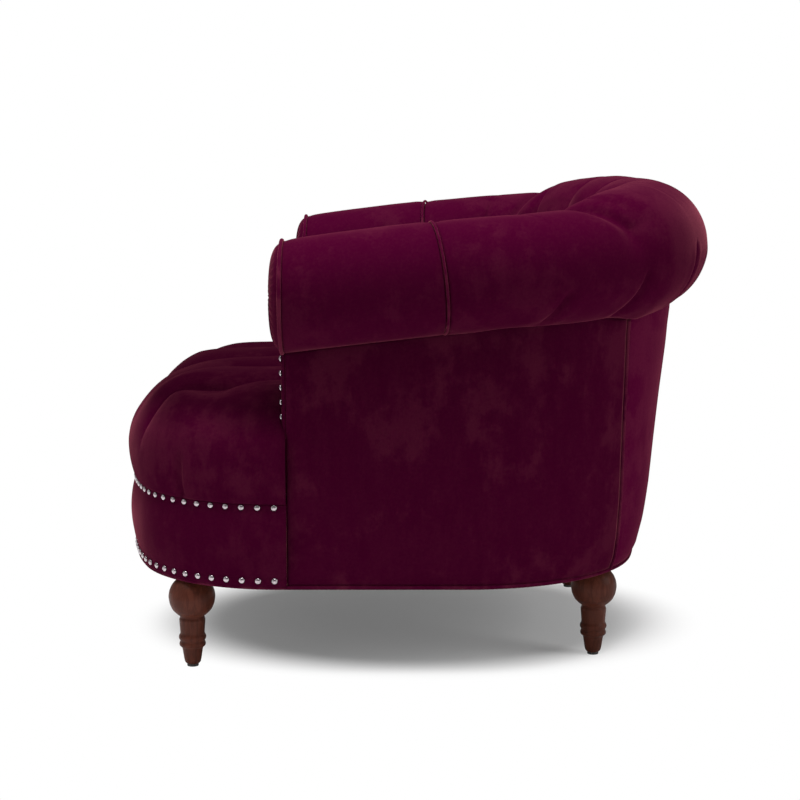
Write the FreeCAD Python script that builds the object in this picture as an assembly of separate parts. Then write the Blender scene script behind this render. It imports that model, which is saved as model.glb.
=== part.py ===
"""A deep-buttoned armchair with rolled arms, a bowed seat and turned legs.

Millimetres. The origin is on the floor under the middle of the chair, +Z is up,
the sitter faces -Y and the sitter's left is +X.
"""

import FreeCAD, Part
import math
import os

os.makedirs("parts", exist_ok=True)
V = FreeCAD.Vector

# Overall sizes
total_depth = 963.0
body_half_width = 370.0
body_bottom = 140.5
seam_gap = 0.3
flatness = 1e-6
facet_sag = 0.8

# Plan of the upholstered body: a bowed front, round corners and a bowed back
front_bow_radius = 650.0
front_corner_radius = 228.0
rear_corner_radius = 277.0
rear_bow_radius = 700.0
seat_overhang = 14.0
roll_overhang = 122.0
arm_setback = 282.0
back_lean_per_mm = 0.153
panel_thickness = 8.0

# Seat
nail_line = 267.5
seat_bulge_height = 328.0
seat_crown = 442.0
seat_edge_radius = 112.0
seat_draw_in = 8.0
seat_edge_steps = 5
seat_corner_steps = 4
seat_edge_puff = 52.5
seat_tuft_depth = 20.0
seat_row_pitch = 130.0
seat_first_row = 26.0
seat_last_row_margin = 35.0
seat_tuft_columns = 6
strap_columns = (-175.0, -42.0, 42.0, 175.0)
strap_rows = (-330.0, -120.0, 40.0, 200.0)

# Arm and back rolls
arm_roll_radius = 84.0
arm_roll_overhang = 2.0
arm_roll_over_seat = 144.5
arm_roll_rise = 27.5
back_section_depth = 457.0
roll_corner_radius = 210.0
roll_bow_radius = 640.0
back_roll_radius = 106.0
back_roll_over_arm = 56.5
roll_ease_length = 330.0
roll_seat_share = 0.93
roll_seat_ease = 100.0
roll_sides = 19
arm_roll_sides = 24
roll_pleats = ((142.0, 97.0), (247.0, 247.0), (352.0, 396.0), (480.0, 498.0))
pleat_depth = 5.0
pleat_half_width = 14.0

# Inside pads
arm_width = 85.0
inside_corner_radius = 120.0
inside_bow_radius = 560.0
inside_back_setback = 284.0
inside_lean = 0.333
pad_thickness = 33.0
pad_bottom = 300.0
pad_below_roll_centre = 30.0
pad_roll_clearance = 2.0
lowest_tuft_over_seat = 36.0
tuft_row_share = 0.21
tuft_rows = 3
tuft_depth = 20.0
back_tuft_columns = 10
arm_tuft_columns = 3
pad_end_behind_seam = 20.2

# Frame
rail_thickness = 24.0
rail_height = 124.0
base_bottom = 142.0
front_block_reach = 40.0
rear_block_reach = 200.0
post_inset = 12.0
post_width = 25.0
post_depth = 30.0
post_behind_seam = 70.5
neck_inset = 9.0
neck_width = 42.0
scroll_board_thickness = 18.0
scroll_board_radius = 72.0
arm_rail_width = 56.0
arm_rail_height = 36.0
back_board_width = 46.0
back_board_thickness = 24.0
upright_x = 110.0
upright_width = 30.0
tack_rail_height = 24.0
tack_rail_thickness = 18.0
tack_rail_start = 0.09
board_steps = 12
strap_width = 50.0
strap_thickness = 2.5
deck_cloth_thickness = 2.0
foam_height = 74.0
foam_margin = 30.0

# Legs, from the floor up
glide_height = 4.0
glide_radius = 9.0
glide_sides = 12
leg_sides = 32
front_leg_side_inset = 78.0
front_leg_setback = 115.0
rear_leg_side_inset = 146.0
rear_leg_inset = 78.5
leg_to_front_rail = 102.0
leg_to_back_rail = 74.0

# Small parts
nail_radius = 5.0
nail_rise = 3.0
nail_sides = 6
facing_pleats = 20
facing_pleat_depth = 1.6
welt_steps = 30
button_sides = 6
nail_pitch = 25.0
arm_nail_pitch = 22.0
arm_nail_over_bulge = 76.5
arm_nail_margin = 8.0
inner_nail_over_seat = 26.0
inner_nail_count = 2
lower_nail_line = 154.5
band_height = 11.0
band_rise = 3.0
nail_margin = 0.6
apron_bulge = 9.0
bow_steps = 8
corner_steps = 8
rear_seam_inset = 130.0
rear_seam_lean = 0.15
leg_clear_radius = 32.0
welt_proud = 2.5
button_radius = 10.0
button_rise = 6.0
welt_size = 6.0
middle_welt_start = -85.0
middle_welt_end = 195.0
facing_radius = 78.0
facing_bulge = 14.0
arm_front_pad = 6.0

front_y = -total_depth / 2
rear_y = total_depth / 2
base_front_y = front_y + seat_overhang
base_back_y = rear_y - roll_overhang
arm_front_y = front_y + arm_setback
roll_back_y = rear_y - back_roll_radius
panel_inset = panel_thickness + seam_gap
rail_top = base_bottom + rail_height
inside_back_y = rear_y - inside_back_setback

# What follows from them: the rolls go with the seat, and the frame with the body's sides
inside_half_width = body_half_width - arm_width
arm_roll_x = body_half_width + arm_roll_overhang
arm_roll_front_height = seat_crown + arm_roll_over_seat
back_roll_height = arm_roll_front_height + back_roll_over_arm
arm_section_length = rear_y - back_section_depth - arm_front_y
arm_seam_y = arm_front_y + arm_section_length
arm_pad_end = arm_seam_y + pad_end_behind_seam
lowest_tuft_row = seat_crown + lowest_tuft_over_seat
seat_tuft_pitch = (inside_half_width - seat_edge_puff) / 1.5
seat_room = inside_back_y - arm_front_y - seat_first_row - seat_last_row_margin
seat_rows = 1 + int(seat_room / seat_row_pitch)
post_outer_x = body_half_width - post_inset
post_inner_x = post_outer_x - post_width
post_front_y = arm_seam_y + post_behind_seam
neck_outer_x = body_half_width - neck_inset
neck_inner_x = neck_outer_x - neck_width
front_leg_x = body_half_width - front_leg_side_inset
front_leg_y = base_front_y + front_leg_setback
rear_leg_x = body_half_width - rear_leg_side_inset
rear_leg_y = base_back_y - rear_leg_inset
rear_seam_x = body_half_width - rear_seam_inset


def arc(a, b, c):
    """An arc edge from a through b to c."""
    return Part.Arc(a, b, c).toShape()


def line(a, b):
    return Part.LineSegment(a, b).toShape()


def box(x0, x1, y0, y1, z0, z1):
    return Part.makeBox(x1 - x0, y1 - y0, z1 - z0, V(x0, y0, z0))


def mirrored(shape):
    """The same shape on the sitter's right."""
    return shape.mirror(V(0, 0, 0), V(1, 0, 0))


def both_sides(shape):
    return [shape, mirrored(shape)]


def save(name, *shapes):
    solids = [solid for shape in shapes for solid in shape.Solids]
    Part.makeCompound(solids).exportStep("parts/" + name + ".step")


def bow_and_corner(half_width, corner_radius, bow_radius, bow_y, side):
    """Centres of the bow and of its round corner. side is 1 for a bow that faces +Y, -1 for -Y."""
    bow_centre = bow_y - side * bow_radius
    corner_x = half_width - corner_radius
    reach = math.sqrt((bow_radius - corner_radius) ** 2 - corner_x**2)
    return bow_centre, corner_x, bow_centre + side * reach


def bow_edges(half_width, corner_radius, bow_radius, bow_y, side, z, inset=0.0):
    """Corner arc, bow arc and corner arc, from the +X side round to the -X side."""
    bow_centre, corner_x, corner_y = bow_and_corner(
        half_width, corner_radius, bow_radius, bow_y, side
    )
    turn = math.atan2(side * (corner_y - bow_centre), corner_x)
    r = corner_radius - inset

    def corner_point(angle):
        return V(corner_x + r * math.cos(angle), corner_y + side * r * math.sin(angle), z)

    start, middle, touch = (corner_point(a) for a in (0.0, turn / 2, turn))
    top = V(0, bow_y - side * inset, z)

    def flip(p):
        return V(-p.x, p.y, p.z)

    edges = [arc(start, middle, touch), arc(touch, top, flip(touch))]
    edges.append(arc(flip(touch), flip(middle), flip(start)))
    return edges, start


def body_outline(z, inset=0.0, lean=True):
    """Plan outline of the body at a height, drawn in by inset."""
    shift = back_lean_per_mm * (z - body_bottom) if lean else 0.0
    back, back_start = bow_edges(
        body_half_width,
        rear_corner_radius,
        rear_bow_radius,
        base_back_y + shift,
        1,
        z,
        inset,
    )
    front, front_start = bow_edges(
        body_half_width,
        front_corner_radius,
        front_bow_radius,
        base_front_y,
        -1,
        z,
        inset,
    )
    right = line(front_start, back_start)
    left = line(V(-back_start.x, back_start.y, z), V(-front_start.x, front_start.y, z))
    front.reverse()
    return Part.Wire([right] + back + [left] + front)


def flat_face(points):
    return Part.Face(Part.makePolygon(points + points[:1]))


def solid_of(faces):
    return Part.makeSolid(Part.makeShell(faces))


def cell_faces(a, b, c, d, crease_ac=True):
    """One flat face on four corners, or two that meet on a crease where they don't lie flat."""
    normal = (b - a).cross(c - a)
    if normal.Length > 0 and abs(normal.dot(d - a)) < flatness * normal.Length:
        return [flat_face([a, b, c, d])]
    if crease_ac:
        return [flat_face([a, b, c]), flat_face([a, c, d])]
    return [flat_face([a, b, d]), flat_face([b, c, d])]


def cloth_faces(rows, depth=None):
    """Faces over a grid of points, creased where depth says that the padding is pulled in."""
    faces = []
    for i in range(len(rows) - 1):
        for j in range(len(rows[i]) - 1):
            crease_ac = True
            if depth:
                along = depth[i][j] + depth[i + 1][j + 1]
                crease_ac = along >= depth[i][j + 1] + depth[i + 1][j]
            corners = rows[i][j], rows[i][j + 1], rows[i + 1][j + 1], rows[i + 1][j]
            faces += cell_faces(*corners, crease_ac)
    return faces


def stuffed(sections, closed=False):
    """A solid through a row of closed sections that have equally many points."""
    rows = [section + section[:1] for section in sections]
    if closed:
        rows.append(rows[0])
    faces = cloth_faces(rows)
    if not closed:
        for end in (sections[0], sections[-1]):
            faces += cell_faces(*end) if len(end) == 4 else [flat_face(end)]
    return solid_of(faces)


def ring_points(centre, along, up, radius, count):
    points = []
    for k in range(count):
        angle = 2 * math.pi * k / count
        points.append(centre + along * (radius * math.cos(angle)) + up * (radius * math.sin(angle)))
    return points


def head(place, out, sides, rings):
    """A small faceted head: rings are pairs of rise and radius, and a last radius of 0 is a tip."""
    across = out.cross(V(0, 0, 1))
    if across.Length < 0.1:
        across = V(1, 0, 0)
    across.normalize()
    up = out.cross(across)
    rows = []
    for rise, radius in rings:
        rows.append(ring_points(place + out * rise, across, up, radius, sides))
    if rings[-1][1] > 0:
        return stuffed(rows)
    faces = [flat_face(rows[0])]
    tip = rows[-1][0]
    for k in range(sides):
        faces.append(flat_face([rows[0][k], rows[0][(k + 1) % sides], tip]))
    return solid_of(faces)


def prism(wire, height):
    return Part.Face(wire).extrude(V(0, 0, height))


def upright_block(z0, z1, inset):
    """The body's inside between two heights, with the upright walls of its base frame."""
    return prism(body_outline(z0, inset, lean=False), z1 - z0)


def front_edge_y(x, outset=0.0):
    """The Y of the body's front outline at a given X, pushed out by outset."""
    bow_centre, corner_x, corner_y = bow_and_corner(
        body_half_width, front_corner_radius, front_bow_radius, base_front_y, -1
    )
    reach = front_bow_radius - front_corner_radius
    touch = corner_x * (front_bow_radius + outset) / reach
    x = abs(x)
    if x <= touch:
        return bow_centre - math.sqrt((front_bow_radius + outset) ** 2 - x * x)
    r = front_corner_radius + outset
    return corner_y - math.sqrt(max(r * r - (x - corner_x) ** 2, 0.0))


def back_edge_y(x, outset=0.0):
    """The same for the back outline at the foot of the body."""
    bow_centre, corner_x, corner_y = bow_and_corner(
        body_half_width, rear_corner_radius, rear_bow_radius, base_back_y, 1
    )
    touch = corner_x * (rear_bow_radius + outset) / (rear_bow_radius - rear_corner_radius)
    if abs(x) <= touch:
        return bow_centre + math.sqrt((rear_bow_radius + outset) ** 2 - x * x)
    r = rear_corner_radius + outset
    return corner_y + math.sqrt(max(r * r - (abs(x) - corner_x) ** 2, 0.0))


# The centre line of the rolls runs back along the arm, round the corner and along the back
roll_bow_centre, roll_corner_x, roll_corner_y = bow_and_corner(
    arm_roll_x, roll_corner_radius, roll_bow_radius, roll_back_y, 1
)
roll_turn = math.atan2(roll_corner_y - roll_bow_centre, roll_corner_x)
back_roll_start_y = arm_front_y + arm_section_length + welt_size + 2 * seam_gap
roll_straight = roll_corner_y - back_roll_start_y
roll_corner_length = roll_corner_radius * roll_turn
roll_half_length = roll_straight + roll_corner_length + roll_bow_radius * (math.pi / 2 - roll_turn)


def roll_point(s):
    """Centre and outward direction of the back roll, s mm from where it joins the arm."""
    if s <= roll_straight:
        return V(arm_roll_x, back_roll_start_y + s, 0), V(1, 0, 0)
    if s <= roll_straight + roll_corner_length:
        angle = (s - roll_straight) / roll_corner_radius
        out = V(math.cos(angle), math.sin(angle), 0)
        return V(roll_corner_x, roll_corner_y, 0) + out * roll_corner_radius, out
    angle = roll_turn + (s - roll_straight - roll_corner_length) / roll_bow_radius
    out = V(math.cos(angle), math.sin(angle), 0)
    return V(0, roll_bow_centre, 0) + out * roll_bow_radius, out


def ease(value):
    value = min(max(value, 0.0), 1.0)
    return value * value * (3 - 2 * value)


def roll_size(s):
    """Half width, half height and centre height of the back roll."""
    grow = ease((s - roll_ease_length / 2) / (roll_ease_length * 0.8))
    half = arm_roll_radius + (back_roll_radius - arm_roll_radius) * grow
    low = arm_roll_front_height + arm_roll_rise
    rise = math.sin(math.pi / 2 * min(s / roll_ease_length, 1.0))
    return half, low + (back_roll_height - low) * rise


def seat_share(s):
    """How far below its centre the roll is cut flat, as a share of its radius."""
    full_round = 0.995
    return full_round + (roll_seat_share - full_round) * ease(s / roll_seat_ease)


def pleat_stations():
    """Places along half of the roll: distance outside, distance inside and how far it's drawn in."""
    stations = []
    for k in range(3):
        s = roll_straight * k / 3
        stations.append((s, s, 0.0))
    for outer, inner in roll_pleats:
        if outer > roll_pleats[0][0]:
            last_outer, last_inner, _ = stations[-1]
            gap = outer - pleat_half_width - last_outer, inner - pleat_half_width - last_inner
            stations.append((last_outer + gap[0] / 2, last_inner + gap[1] / 2, 0.0))
        for reach, depth in ((-pleat_half_width, 0.0), (0.0, pleat_depth), (pleat_half_width, 0.0)):
            stations.append((outer + reach, inner + reach, depth))
    last = roll_half_length - pleat_half_width
    stations.append((last, last, 0.0))
    return stations + [(roll_half_length, roll_half_length, pleat_depth)]


def roll_section(outer, inner, draw_in, side=1):
    """A section round the roll, slanted where its pleat is, with a seat where it rests on the frame."""
    lean = math.asin(seat_share(outer))
    points = []
    for k in range(roll_sides):
        angle = (math.pi + 2 * lean) * k / (roll_sides - 1) - lean
        slant = ease(angle / math.pi) if angle < math.pi else ease((math.pi + lean - angle) / lean)
        s = outer + (inner - outer) * slant
        centre, out = roll_point(s)
        radius, height = roll_size(s)
        r = radius - draw_in * min(1.0, 0.3 + max(math.sin(angle), math.cos(angle)))
        if k in (0, roll_sides - 1):
            r = radius
        point = centre + out * (r * math.cos(angle))
        points.append(V(side * point.x, point.y, height + r * math.sin(angle)))
    return points


def back_roll_block():
    """The roll from the middle of one arm round the back to the other."""
    half = pleat_stations()
    sections = [roll_section(*station) for station in half]
    sections += [roll_section(*station, -1) for station in reversed(half[:-1])]
    return stuffed(sections)


def arm_roll_block():
    """The front length of one arm's roll, which climbs towards the back."""
    sections = []
    for y in (arm_front_y, arm_front_y + arm_section_length):
        centre = V(arm_roll_x, y, arm_height(y))
        sections.append(
            ring_points(centre, V(1, 0, 0), V(0, 0, 1), arm_roll_radius, arm_roll_sides)
        )
    return stuffed(sections)


def arm_height(y):
    """Height of the arm roll's centre at a given Y, past its front length too."""
    if y <= back_roll_start_y:
        return arm_roll_front_height + arm_roll_rise * (y - arm_front_y) / arm_section_length
    return roll_size(y - back_roll_start_y)[1]


def roll_distance(point):
    """How far the roll's centre line lies outside a point, and how far along the roll that is."""
    x = abs(point.x)
    if point.y < roll_corner_y:
        return arm_roll_x - x, point.y - back_roll_start_y
    angle = math.atan2(point.y - roll_corner_y, x - roll_corner_x)
    if angle < roll_turn:
        away = roll_corner_radius - math.hypot(x - roll_corner_x, point.y - roll_corner_y)
        return away, roll_straight + roll_corner_radius * angle
    angle = math.atan2(point.y - roll_bow_centre, x)
    away = roll_bow_radius - math.hypot(x, point.y - roll_bow_centre)
    return away, roll_straight + roll_corner_length + roll_bow_radius * (angle - roll_turn)


def roll_beside(point):
    """The roll next to a point: how far out its centre line lies, its radius and its height."""
    away, s = roll_distance(point)
    if s < 0:
        slope = math.hypot(arm_section_length, arm_roll_rise) / arm_section_length
        return away, arm_roll_radius * slope, arm_height(point.y)
    return away, *roll_size(s)


def under_roll(point):
    """Height of the roll's underside over a point."""
    away, radius, height = roll_beside(point)
    drop = math.sqrt(radius**2 - min(abs(away), radius) ** 2)
    s = roll_distance(point)[1]
    if s > 0:
        drop = min(drop, seat_share(s) * radius)
    return height - drop


# Base frame: a closed ring of rails, whose round corners are thick blocks
front_block_y = arm_front_y - front_block_reach
rear_block_y = base_back_y - rear_block_reach
front_block_x = front_leg_x - leg_to_front_rail
rear_block_x = rear_leg_x - leg_to_back_rail


def rail_ring():
    outer = upright_block(base_bottom, rail_top, panel_inset)
    return outer.cut(upright_block(base_bottom - 1, rail_top + 1, panel_inset + rail_thickness))


def leg_places():
    return [
        (front_leg_x, front_leg_y),
        (-front_leg_x, front_leg_y),
        (rear_leg_x, rear_leg_y),
        (-rear_leg_x, rear_leg_y),
    ]


def rail_inner_y(x, y_side):
    """Where the inner face of the rails crosses the line X, in front (-1) or behind (1)."""
    if y_side < 0:
        return front_edge_y(x, -panel_inset - rail_thickness)
    return back_edge_y(x, -panel_inset - rail_thickness)


def corner_block(x0, y0, y_side):
    """A block that fills a round corner, cut straight across behind the leg."""
    wide = total_depth
    toe_y = rail_inner_y(x0, y_side)
    toe_x = body_half_width - panel_inset - rail_thickness
    corners = [
        V(x0, toe_y, base_bottom),
        V(x0, y_side * wide, base_bottom),
        V(wide, y_side * wide, base_bottom),
        V(wide, y0, base_bottom),
        V(toe_x, y0, base_bottom),
    ]
    region = prism(Part.makePolygon(corners + corners[:1]), rail_height)
    return upright_block(base_bottom, rail_top, panel_inset).common(region)


def make_base_frame():
    wide = total_depth
    ring = rail_ring()
    below = base_bottom - 1
    above = rail_top + 1
    save(
        "base_front_rail",
        ring.common(box(-front_block_x, front_block_x, -wide, front_block_y, below, above)),
    )
    save(
        "base_back_rail",
        ring.common(box(-rear_block_x, rear_block_x, rear_block_y, wide, below, above)),
    )
    side = ring.common(box(0, wide, front_block_y, rear_block_y, below, above))
    save("base_side_rail_left", side)
    save("base_side_rail_right", mirrored(side))
    front = corner_block(front_block_x, front_block_y, -1)
    rear = corner_block(rear_block_x, rear_block_y, 1)
    blocks = both_sides(front) + both_sides(rear)
    save("corner_blocks", *blocks)


def scroll_board(grow=0.0):
    """The upright board behind an arm's front: a round head on a straight neck."""
    y0 = arm_front_y + seam_gap - grow
    depth = scroll_board_thickness + 2 * grow
    head = Part.makeCylinder(
        scroll_board_radius + grow,
        depth,
        V(arm_roll_x, y0, arm_roll_front_height),
        V(0, 1, 0),
    )
    neck = box(
        neck_inner_x - grow,
        neck_outer_x + grow,
        y0,
        y0 + depth,
        rail_top,
        arm_roll_front_height,
    )
    return head.fuse(neck).removeSplitter()


def slanted_bar(y0, y1, z_at, x0, x1, height, grow=0.0):
    """A bar along Y whose two ends lie at different heights."""
    ends = []
    for y in (y0, y1):
        low = z_at(y) - height / 2 - grow
        high = z_at(y) + height / 2 + grow
        ends.append([
            V(x0 - grow, y, low),
            V(x1 + grow, y, low),
            V(x1 + grow, y, high),
            V(x0 - grow, y, high),
        ])
    return stuffed(ends)


arm_rail_start = arm_front_y + seam_gap + scroll_board_thickness
arm_rail_inner = neck_inner_x + 6
roll_seat_height = back_roll_height - roll_seat_share * back_roll_radius
board_top = roll_seat_height - seam_gap
board_bottom = board_top - back_board_thickness


def arm_top_rail(grow=0.0):
    outer = arm_rail_inner + arm_rail_width
    return slanted_bar(
        arm_rail_start, post_front_y, arm_height, arm_rail_inner, outer, arm_rail_height, grow
    )


def rear_post(grow=0.0):
    """An upright from the side rail into the arm's roll, where the arm rail butts against it."""
    return box(
        post_inner_x - grow,
        post_outer_x + grow,
        post_front_y - grow,
        post_front_y + post_depth + grow,
        rail_top,
        arm_height(post_front_y) + arm_rail_height / 2 + grow,
    )


def bent_board(place_at, steps, near, far, z, height):
    """A board of short straight lengths that follows a curve; place_at gives a point for a share."""
    sections = []
    for k in range(steps + 1):
        section = []
        for inset, rise in ((near, 0.0), (near, height), (far, height), (far, 0.0)):
            point = place_at(k / steps, inset)
            section.append(V(point.x, point.y, z + rise))
        sections.append(section)
    return stuffed(sections)


def back_board():
    """The board on top of the uprights, from post to post, with the back roll seated on it."""
    near = panel_inset + facet_sag
    reach = board_end_distance()

    def place_at(share, inset):
        return rear_place(reach * (2 * share - 1), board_bottom, inset)

    far = near + back_board_width
    return bent_board(place_at, board_steps, near, far, board_bottom, back_board_thickness)


def board_end_distance():
    """Distance round the back at which the board meets the back of a post."""
    back_y = base_back_y + back_lean_per_mm * (board_bottom - body_bottom)
    bow_centre, corner_x, corner_y = bow_and_corner(
        body_half_width, rear_corner_radius, rear_bow_radius, back_y, 1
    )
    behind_post = post_front_y + post_depth + seam_gap
    if corner_y > behind_post:
        return rear_corner_end() + corner_y - behind_post
    far_radius = rear_corner_radius - panel_inset - facet_sag - back_board_width
    angle = math.asin((behind_post - corner_y) / far_radius)
    return rear_corner_end() - rear_corner_radius * angle


def back_tack_rail():
    """The rail that holds the foot of the inside back, between the posts."""
    z = pad_bottom - tack_rail_height / 2
    near = pad_thickness + seam_gap + facet_sag

    def place_at(share, depth):
        return inside_outline_point(tack_rail_start + (1 - 2 * tack_rail_start) * share, z, depth)

    far = near + tack_rail_thickness
    return bent_board(place_at, 2 * board_steps, near, far, z, tack_rail_height)


def upright():
    """A leaning bar from the base's back rail up to the back board."""
    base_y = base_back_y - panel_inset - rail_thickness - 8
    top_y = roll_back_y - 20
    x0 = upright_x - upright_width / 2
    x1 = upright_x + upright_width / 2
    ends = []
    for y, z in ((base_y, rail_top), (top_y, board_bottom)):
        far = y + upright_width
        ends.append([V(x0, y, z), V(x1, y, z), V(x1, far, z), V(x0, far, z)])
    return stuffed(ends)


def make_arm_and_back_frame():
    for name, shape in (
        ("arm_scroll_board", scroll_board()),
        ("arm_top_rail", arm_top_rail()),
        ("rear_post", rear_post()),
    ):
        save(name + "_left", shape)
        save(name + "_right", mirrored(shape))
    tack_x = inside_half_width + pad_thickness + seam_gap
    z0 = pad_bottom - tack_rail_height / 2
    tack = box(
        tack_x,
        tack_x + rail_thickness,
        arm_rail_start,
        post_front_y,
        z0,
        z0 + tack_rail_height,
    )
    save("arm_tack_rails", *both_sides(tack))
    save("back_tack_rail", back_tack_rail())
    save("back_top_board", back_board())
    save("back_uprights", *both_sides(upright()))


def inside_outline_point(u, z, sink=0.0):
    """A point on the sitter's side of the inside back, u from 0 at the +X end to 1 at the -X end."""
    back_y = inside_back_y + inside_lean * max(z - seat_crown, 0.0)
    bow_centre, corner_x, corner_y = bow_and_corner(
        inside_half_width, inside_corner_radius, inside_bow_radius, back_y, 1
    )
    turn = math.atan2(corner_y - bow_centre, corner_x)
    straight = corner_y - arm_pad_end
    corner_length = inside_corner_radius * turn
    bow_length = inside_bow_radius * (math.pi / 2 - turn)
    half = straight + corner_length + bow_length
    s = (1 - abs(1 - 2 * u)) * half
    side = 1 if u <= 0.5 else -1
    if s <= straight:
        point = V(inside_half_width + sink, arm_pad_end + s, z)
    elif s <= straight + corner_length:
        angle = (s - straight) / inside_corner_radius
        r = inside_corner_radius + sink
        point = V(corner_x + r * math.cos(angle), corner_y + r * math.sin(angle), z)
    else:
        angle = turn + (s - straight - corner_length) / inside_bow_radius
        r = inside_bow_radius + sink
        point = V(r * math.cos(angle), bow_centre + r * math.sin(angle), z)
    return V(side * point.x, point.y, z)


def tuft_share(column, row):
    """How deep the padding is pulled in, from 0 on a puff to 1 at a button.

    column counts quarters of the button pitch, and row counts half rows.
    """
    if row % 2:
        return 0.55 if column % 2 else 0.1
    shift = 0 if row % 4 == 0 else 2
    return (1.0, 0.28, 0.0, 0.28)[(column + shift) % 4]


def fold_share(column):
    """Depth of the straight folds that run from the last buttons to the edge."""
    return (0.6, 0.15, 0.0, 0.15)[column % 4]


def pad_height(level, top):
    """Height of a level of an inside pad, whose upper levels spread out up to its top."""
    fixed = (pad_bottom, seat_crown - 30, (seat_crown + lowest_tuft_row) / 2 - 10)
    if level < len(fixed):
        return fixed[level]
    share = min((level - len(fixed)) * tuft_row_share, 1.0)
    return lowest_tuft_row + share * (top - lowest_tuft_row)


def pad_sink(level, column):
    """How far the padding is drawn in at a level and a quarter column of its tufts."""
    if level < 2:
        return 2.0
    if level == 2:
        return tuft_depth * fold_share(column)
    return tuft_depth * tuft_share(column, level - 3)


def padding_behind(point):
    """Thickness of the padding behind a point of its face, less where the roll comes close."""
    away, radius, height = roll_beside(point)
    below = min(abs(point.z - height), radius)
    room = away - math.sqrt(radius**2 - below**2) - pad_roll_clearance
    return min(pad_thickness, room)


pad_level_count = 4 + 2 * tuft_rows - 1


def pad_grids(count, place_at):
    """Front and back grids of an inside pad; place_at gives a point for a share, height and depth."""
    front, behind, depth = [], [], []
    for level in range(pad_level_count):
        rows = [], [], []
        for column in range(count + 1):
            share = column / count
            rough = place_at(share, lowest_tuft_row, 0.0)
            top = roll_beside(rough)[2] - pad_below_roll_centre
            z = pad_height(level, top)
            thickness = padding_behind(place_at(share, z, 0.0))
            sink = min(pad_sink(level, column), thickness - 4)
            rows[0].append(place_at(share, z, sink))
            rows[1].append(place_at(share, z, thickness))
            rows[2].append(sink)
        front.append(rows[0])
        behind.append(rows[1])
        depth.append(rows[2])
    return front, behind, depth


def quilted(front, behind, depth):
    """A pad between two grids of points, creased along its tufts in front."""
    faces = cloth_faces(front, depth) + cloth_faces(behind)
    for near, far in (
        (front[0], behind[0]),
        (front[-1], behind[-1]),
        ([row[0] for row in front], [row[0] for row in behind]),
        ([row[-1] for row in front], [row[-1] for row in behind]),
    ):
        faces += cloth_faces([near, far])
    return solid_of(faces)


def arm_pad_point(share, z, sink):
    y0 = arm_front_y + seam_gap
    return V(inside_half_width + sink, y0 + (arm_pad_end - 1 - y0) * share, z)


def button(pad, grid, i, j, lean):
    """A covered button over a hollow of its pad, let down until it's one seam's gap away."""
    place = grid[i][j]
    across = grid[i][j + 1] - grid[i][j - 1]
    out = lean.cross(across).normalize()
    if out.dot(V(0, -total_depth, total_depth) - place) < 0:
        out = out * -1
    slope = 0.0
    for a, b in ((i - 1, j), (i + 1, j), (i, j - 1), (i, j + 1)):
        reach = grid[a][b] - place
        rise = reach.dot(out)
        slope = max(slope, rise / (reach - out * rise).Length)
    lift = slope * button_radius + 2 * seam_gap
    rings = ((0.0, button_radius), (button_rise, button_radius * 0.65))
    disc = head(place + out * lift, out, button_sides, rings)
    disc.translate(out * (seam_gap - disc.distToShape(pad)[0]))
    return disc


def buttons_on(pad, grid, count, lean):
    """Buttons on the deepest points of an inside pad."""
    discs = []
    for row in range(0, 2 * tuft_rows, 2):
        for column in range(1, count):
            if tuft_share(column, row) == 1.0:
                discs.append(button(pad, grid, row + 3, column, lean))
    return discs


# Seat: sections along X, each a profile from the front edge to the back
seat_bottom = nail_line + band_height / 2 + seam_gap
seat_quarter = seat_tuft_pitch / 4
first_row_y = arm_front_y + seat_first_row
ear_end_y = arm_front_y - arm_front_pad - 2 * seam_gap


def seat_columns():
    """Columns over half the seat: X on its deck, distance round its front edge, and fold depth."""
    last = seat_tuft_columns
    columns = []
    for k in range(last + 1):
        columns.append((k * seat_quarter, k * seat_quarter, k))
    x0 = last * seat_quarter
    s1 = front_end_distance()
    for k in range(1, seat_corner_steps + 1):
        share = k / seat_corner_steps
        x = x0 + (inside_half_width - x0) * share
        columns.append((x, x0 + (s1 - x0) * share, last + min(k, 2)))
    return columns


def seat_rear_y(x):
    """Where the seat meets the inside back."""
    bow_centre, corner_x, corner_y = bow_and_corner(
        inside_half_width, inside_corner_radius, inside_bow_radius, inside_back_y, 1
    )
    x = abs(x)
    touch = corner_x * inside_bow_radius / (inside_bow_radius - inside_corner_radius)
    if x <= touch:
        return bow_centre + math.sqrt(inside_bow_radius**2 - x * x)
    return corner_y + math.sqrt(max(inside_corner_radius**2 - (x - corner_x) ** 2, 0.0))


def seat_edge_points(s, fold):
    """Points up the rounded edge of the seat, from its lower rim to the deck."""
    outline, out = front_place(s, seat_overhang)
    side_reach = body_half_width + seat_overhang - inside_half_width
    reach = side_reach + (seat_edge_radius - side_reach) * abs(out.y)
    crown = seat_crown - seat_tuft_depth * fold
    middle = (seat_bottom + seat_bulge_height) / 2
    profile = [(seat_draw_in, seat_bottom), (seat_draw_in / 4, middle)]
    for k in range(seat_edge_steps + 1):
        angle = math.pi / 2 * k / seat_edge_steps
        inset = seat_draw_in * fold * math.cos(angle) + reach * (1 - math.cos(angle))
        z = seat_bulge_height + (crown - seat_bulge_height) * math.sin(angle)
        profile.append((inset, z))
    return [outline - out * inset + V(0, 0, z) for inset, z in profile]


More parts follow.
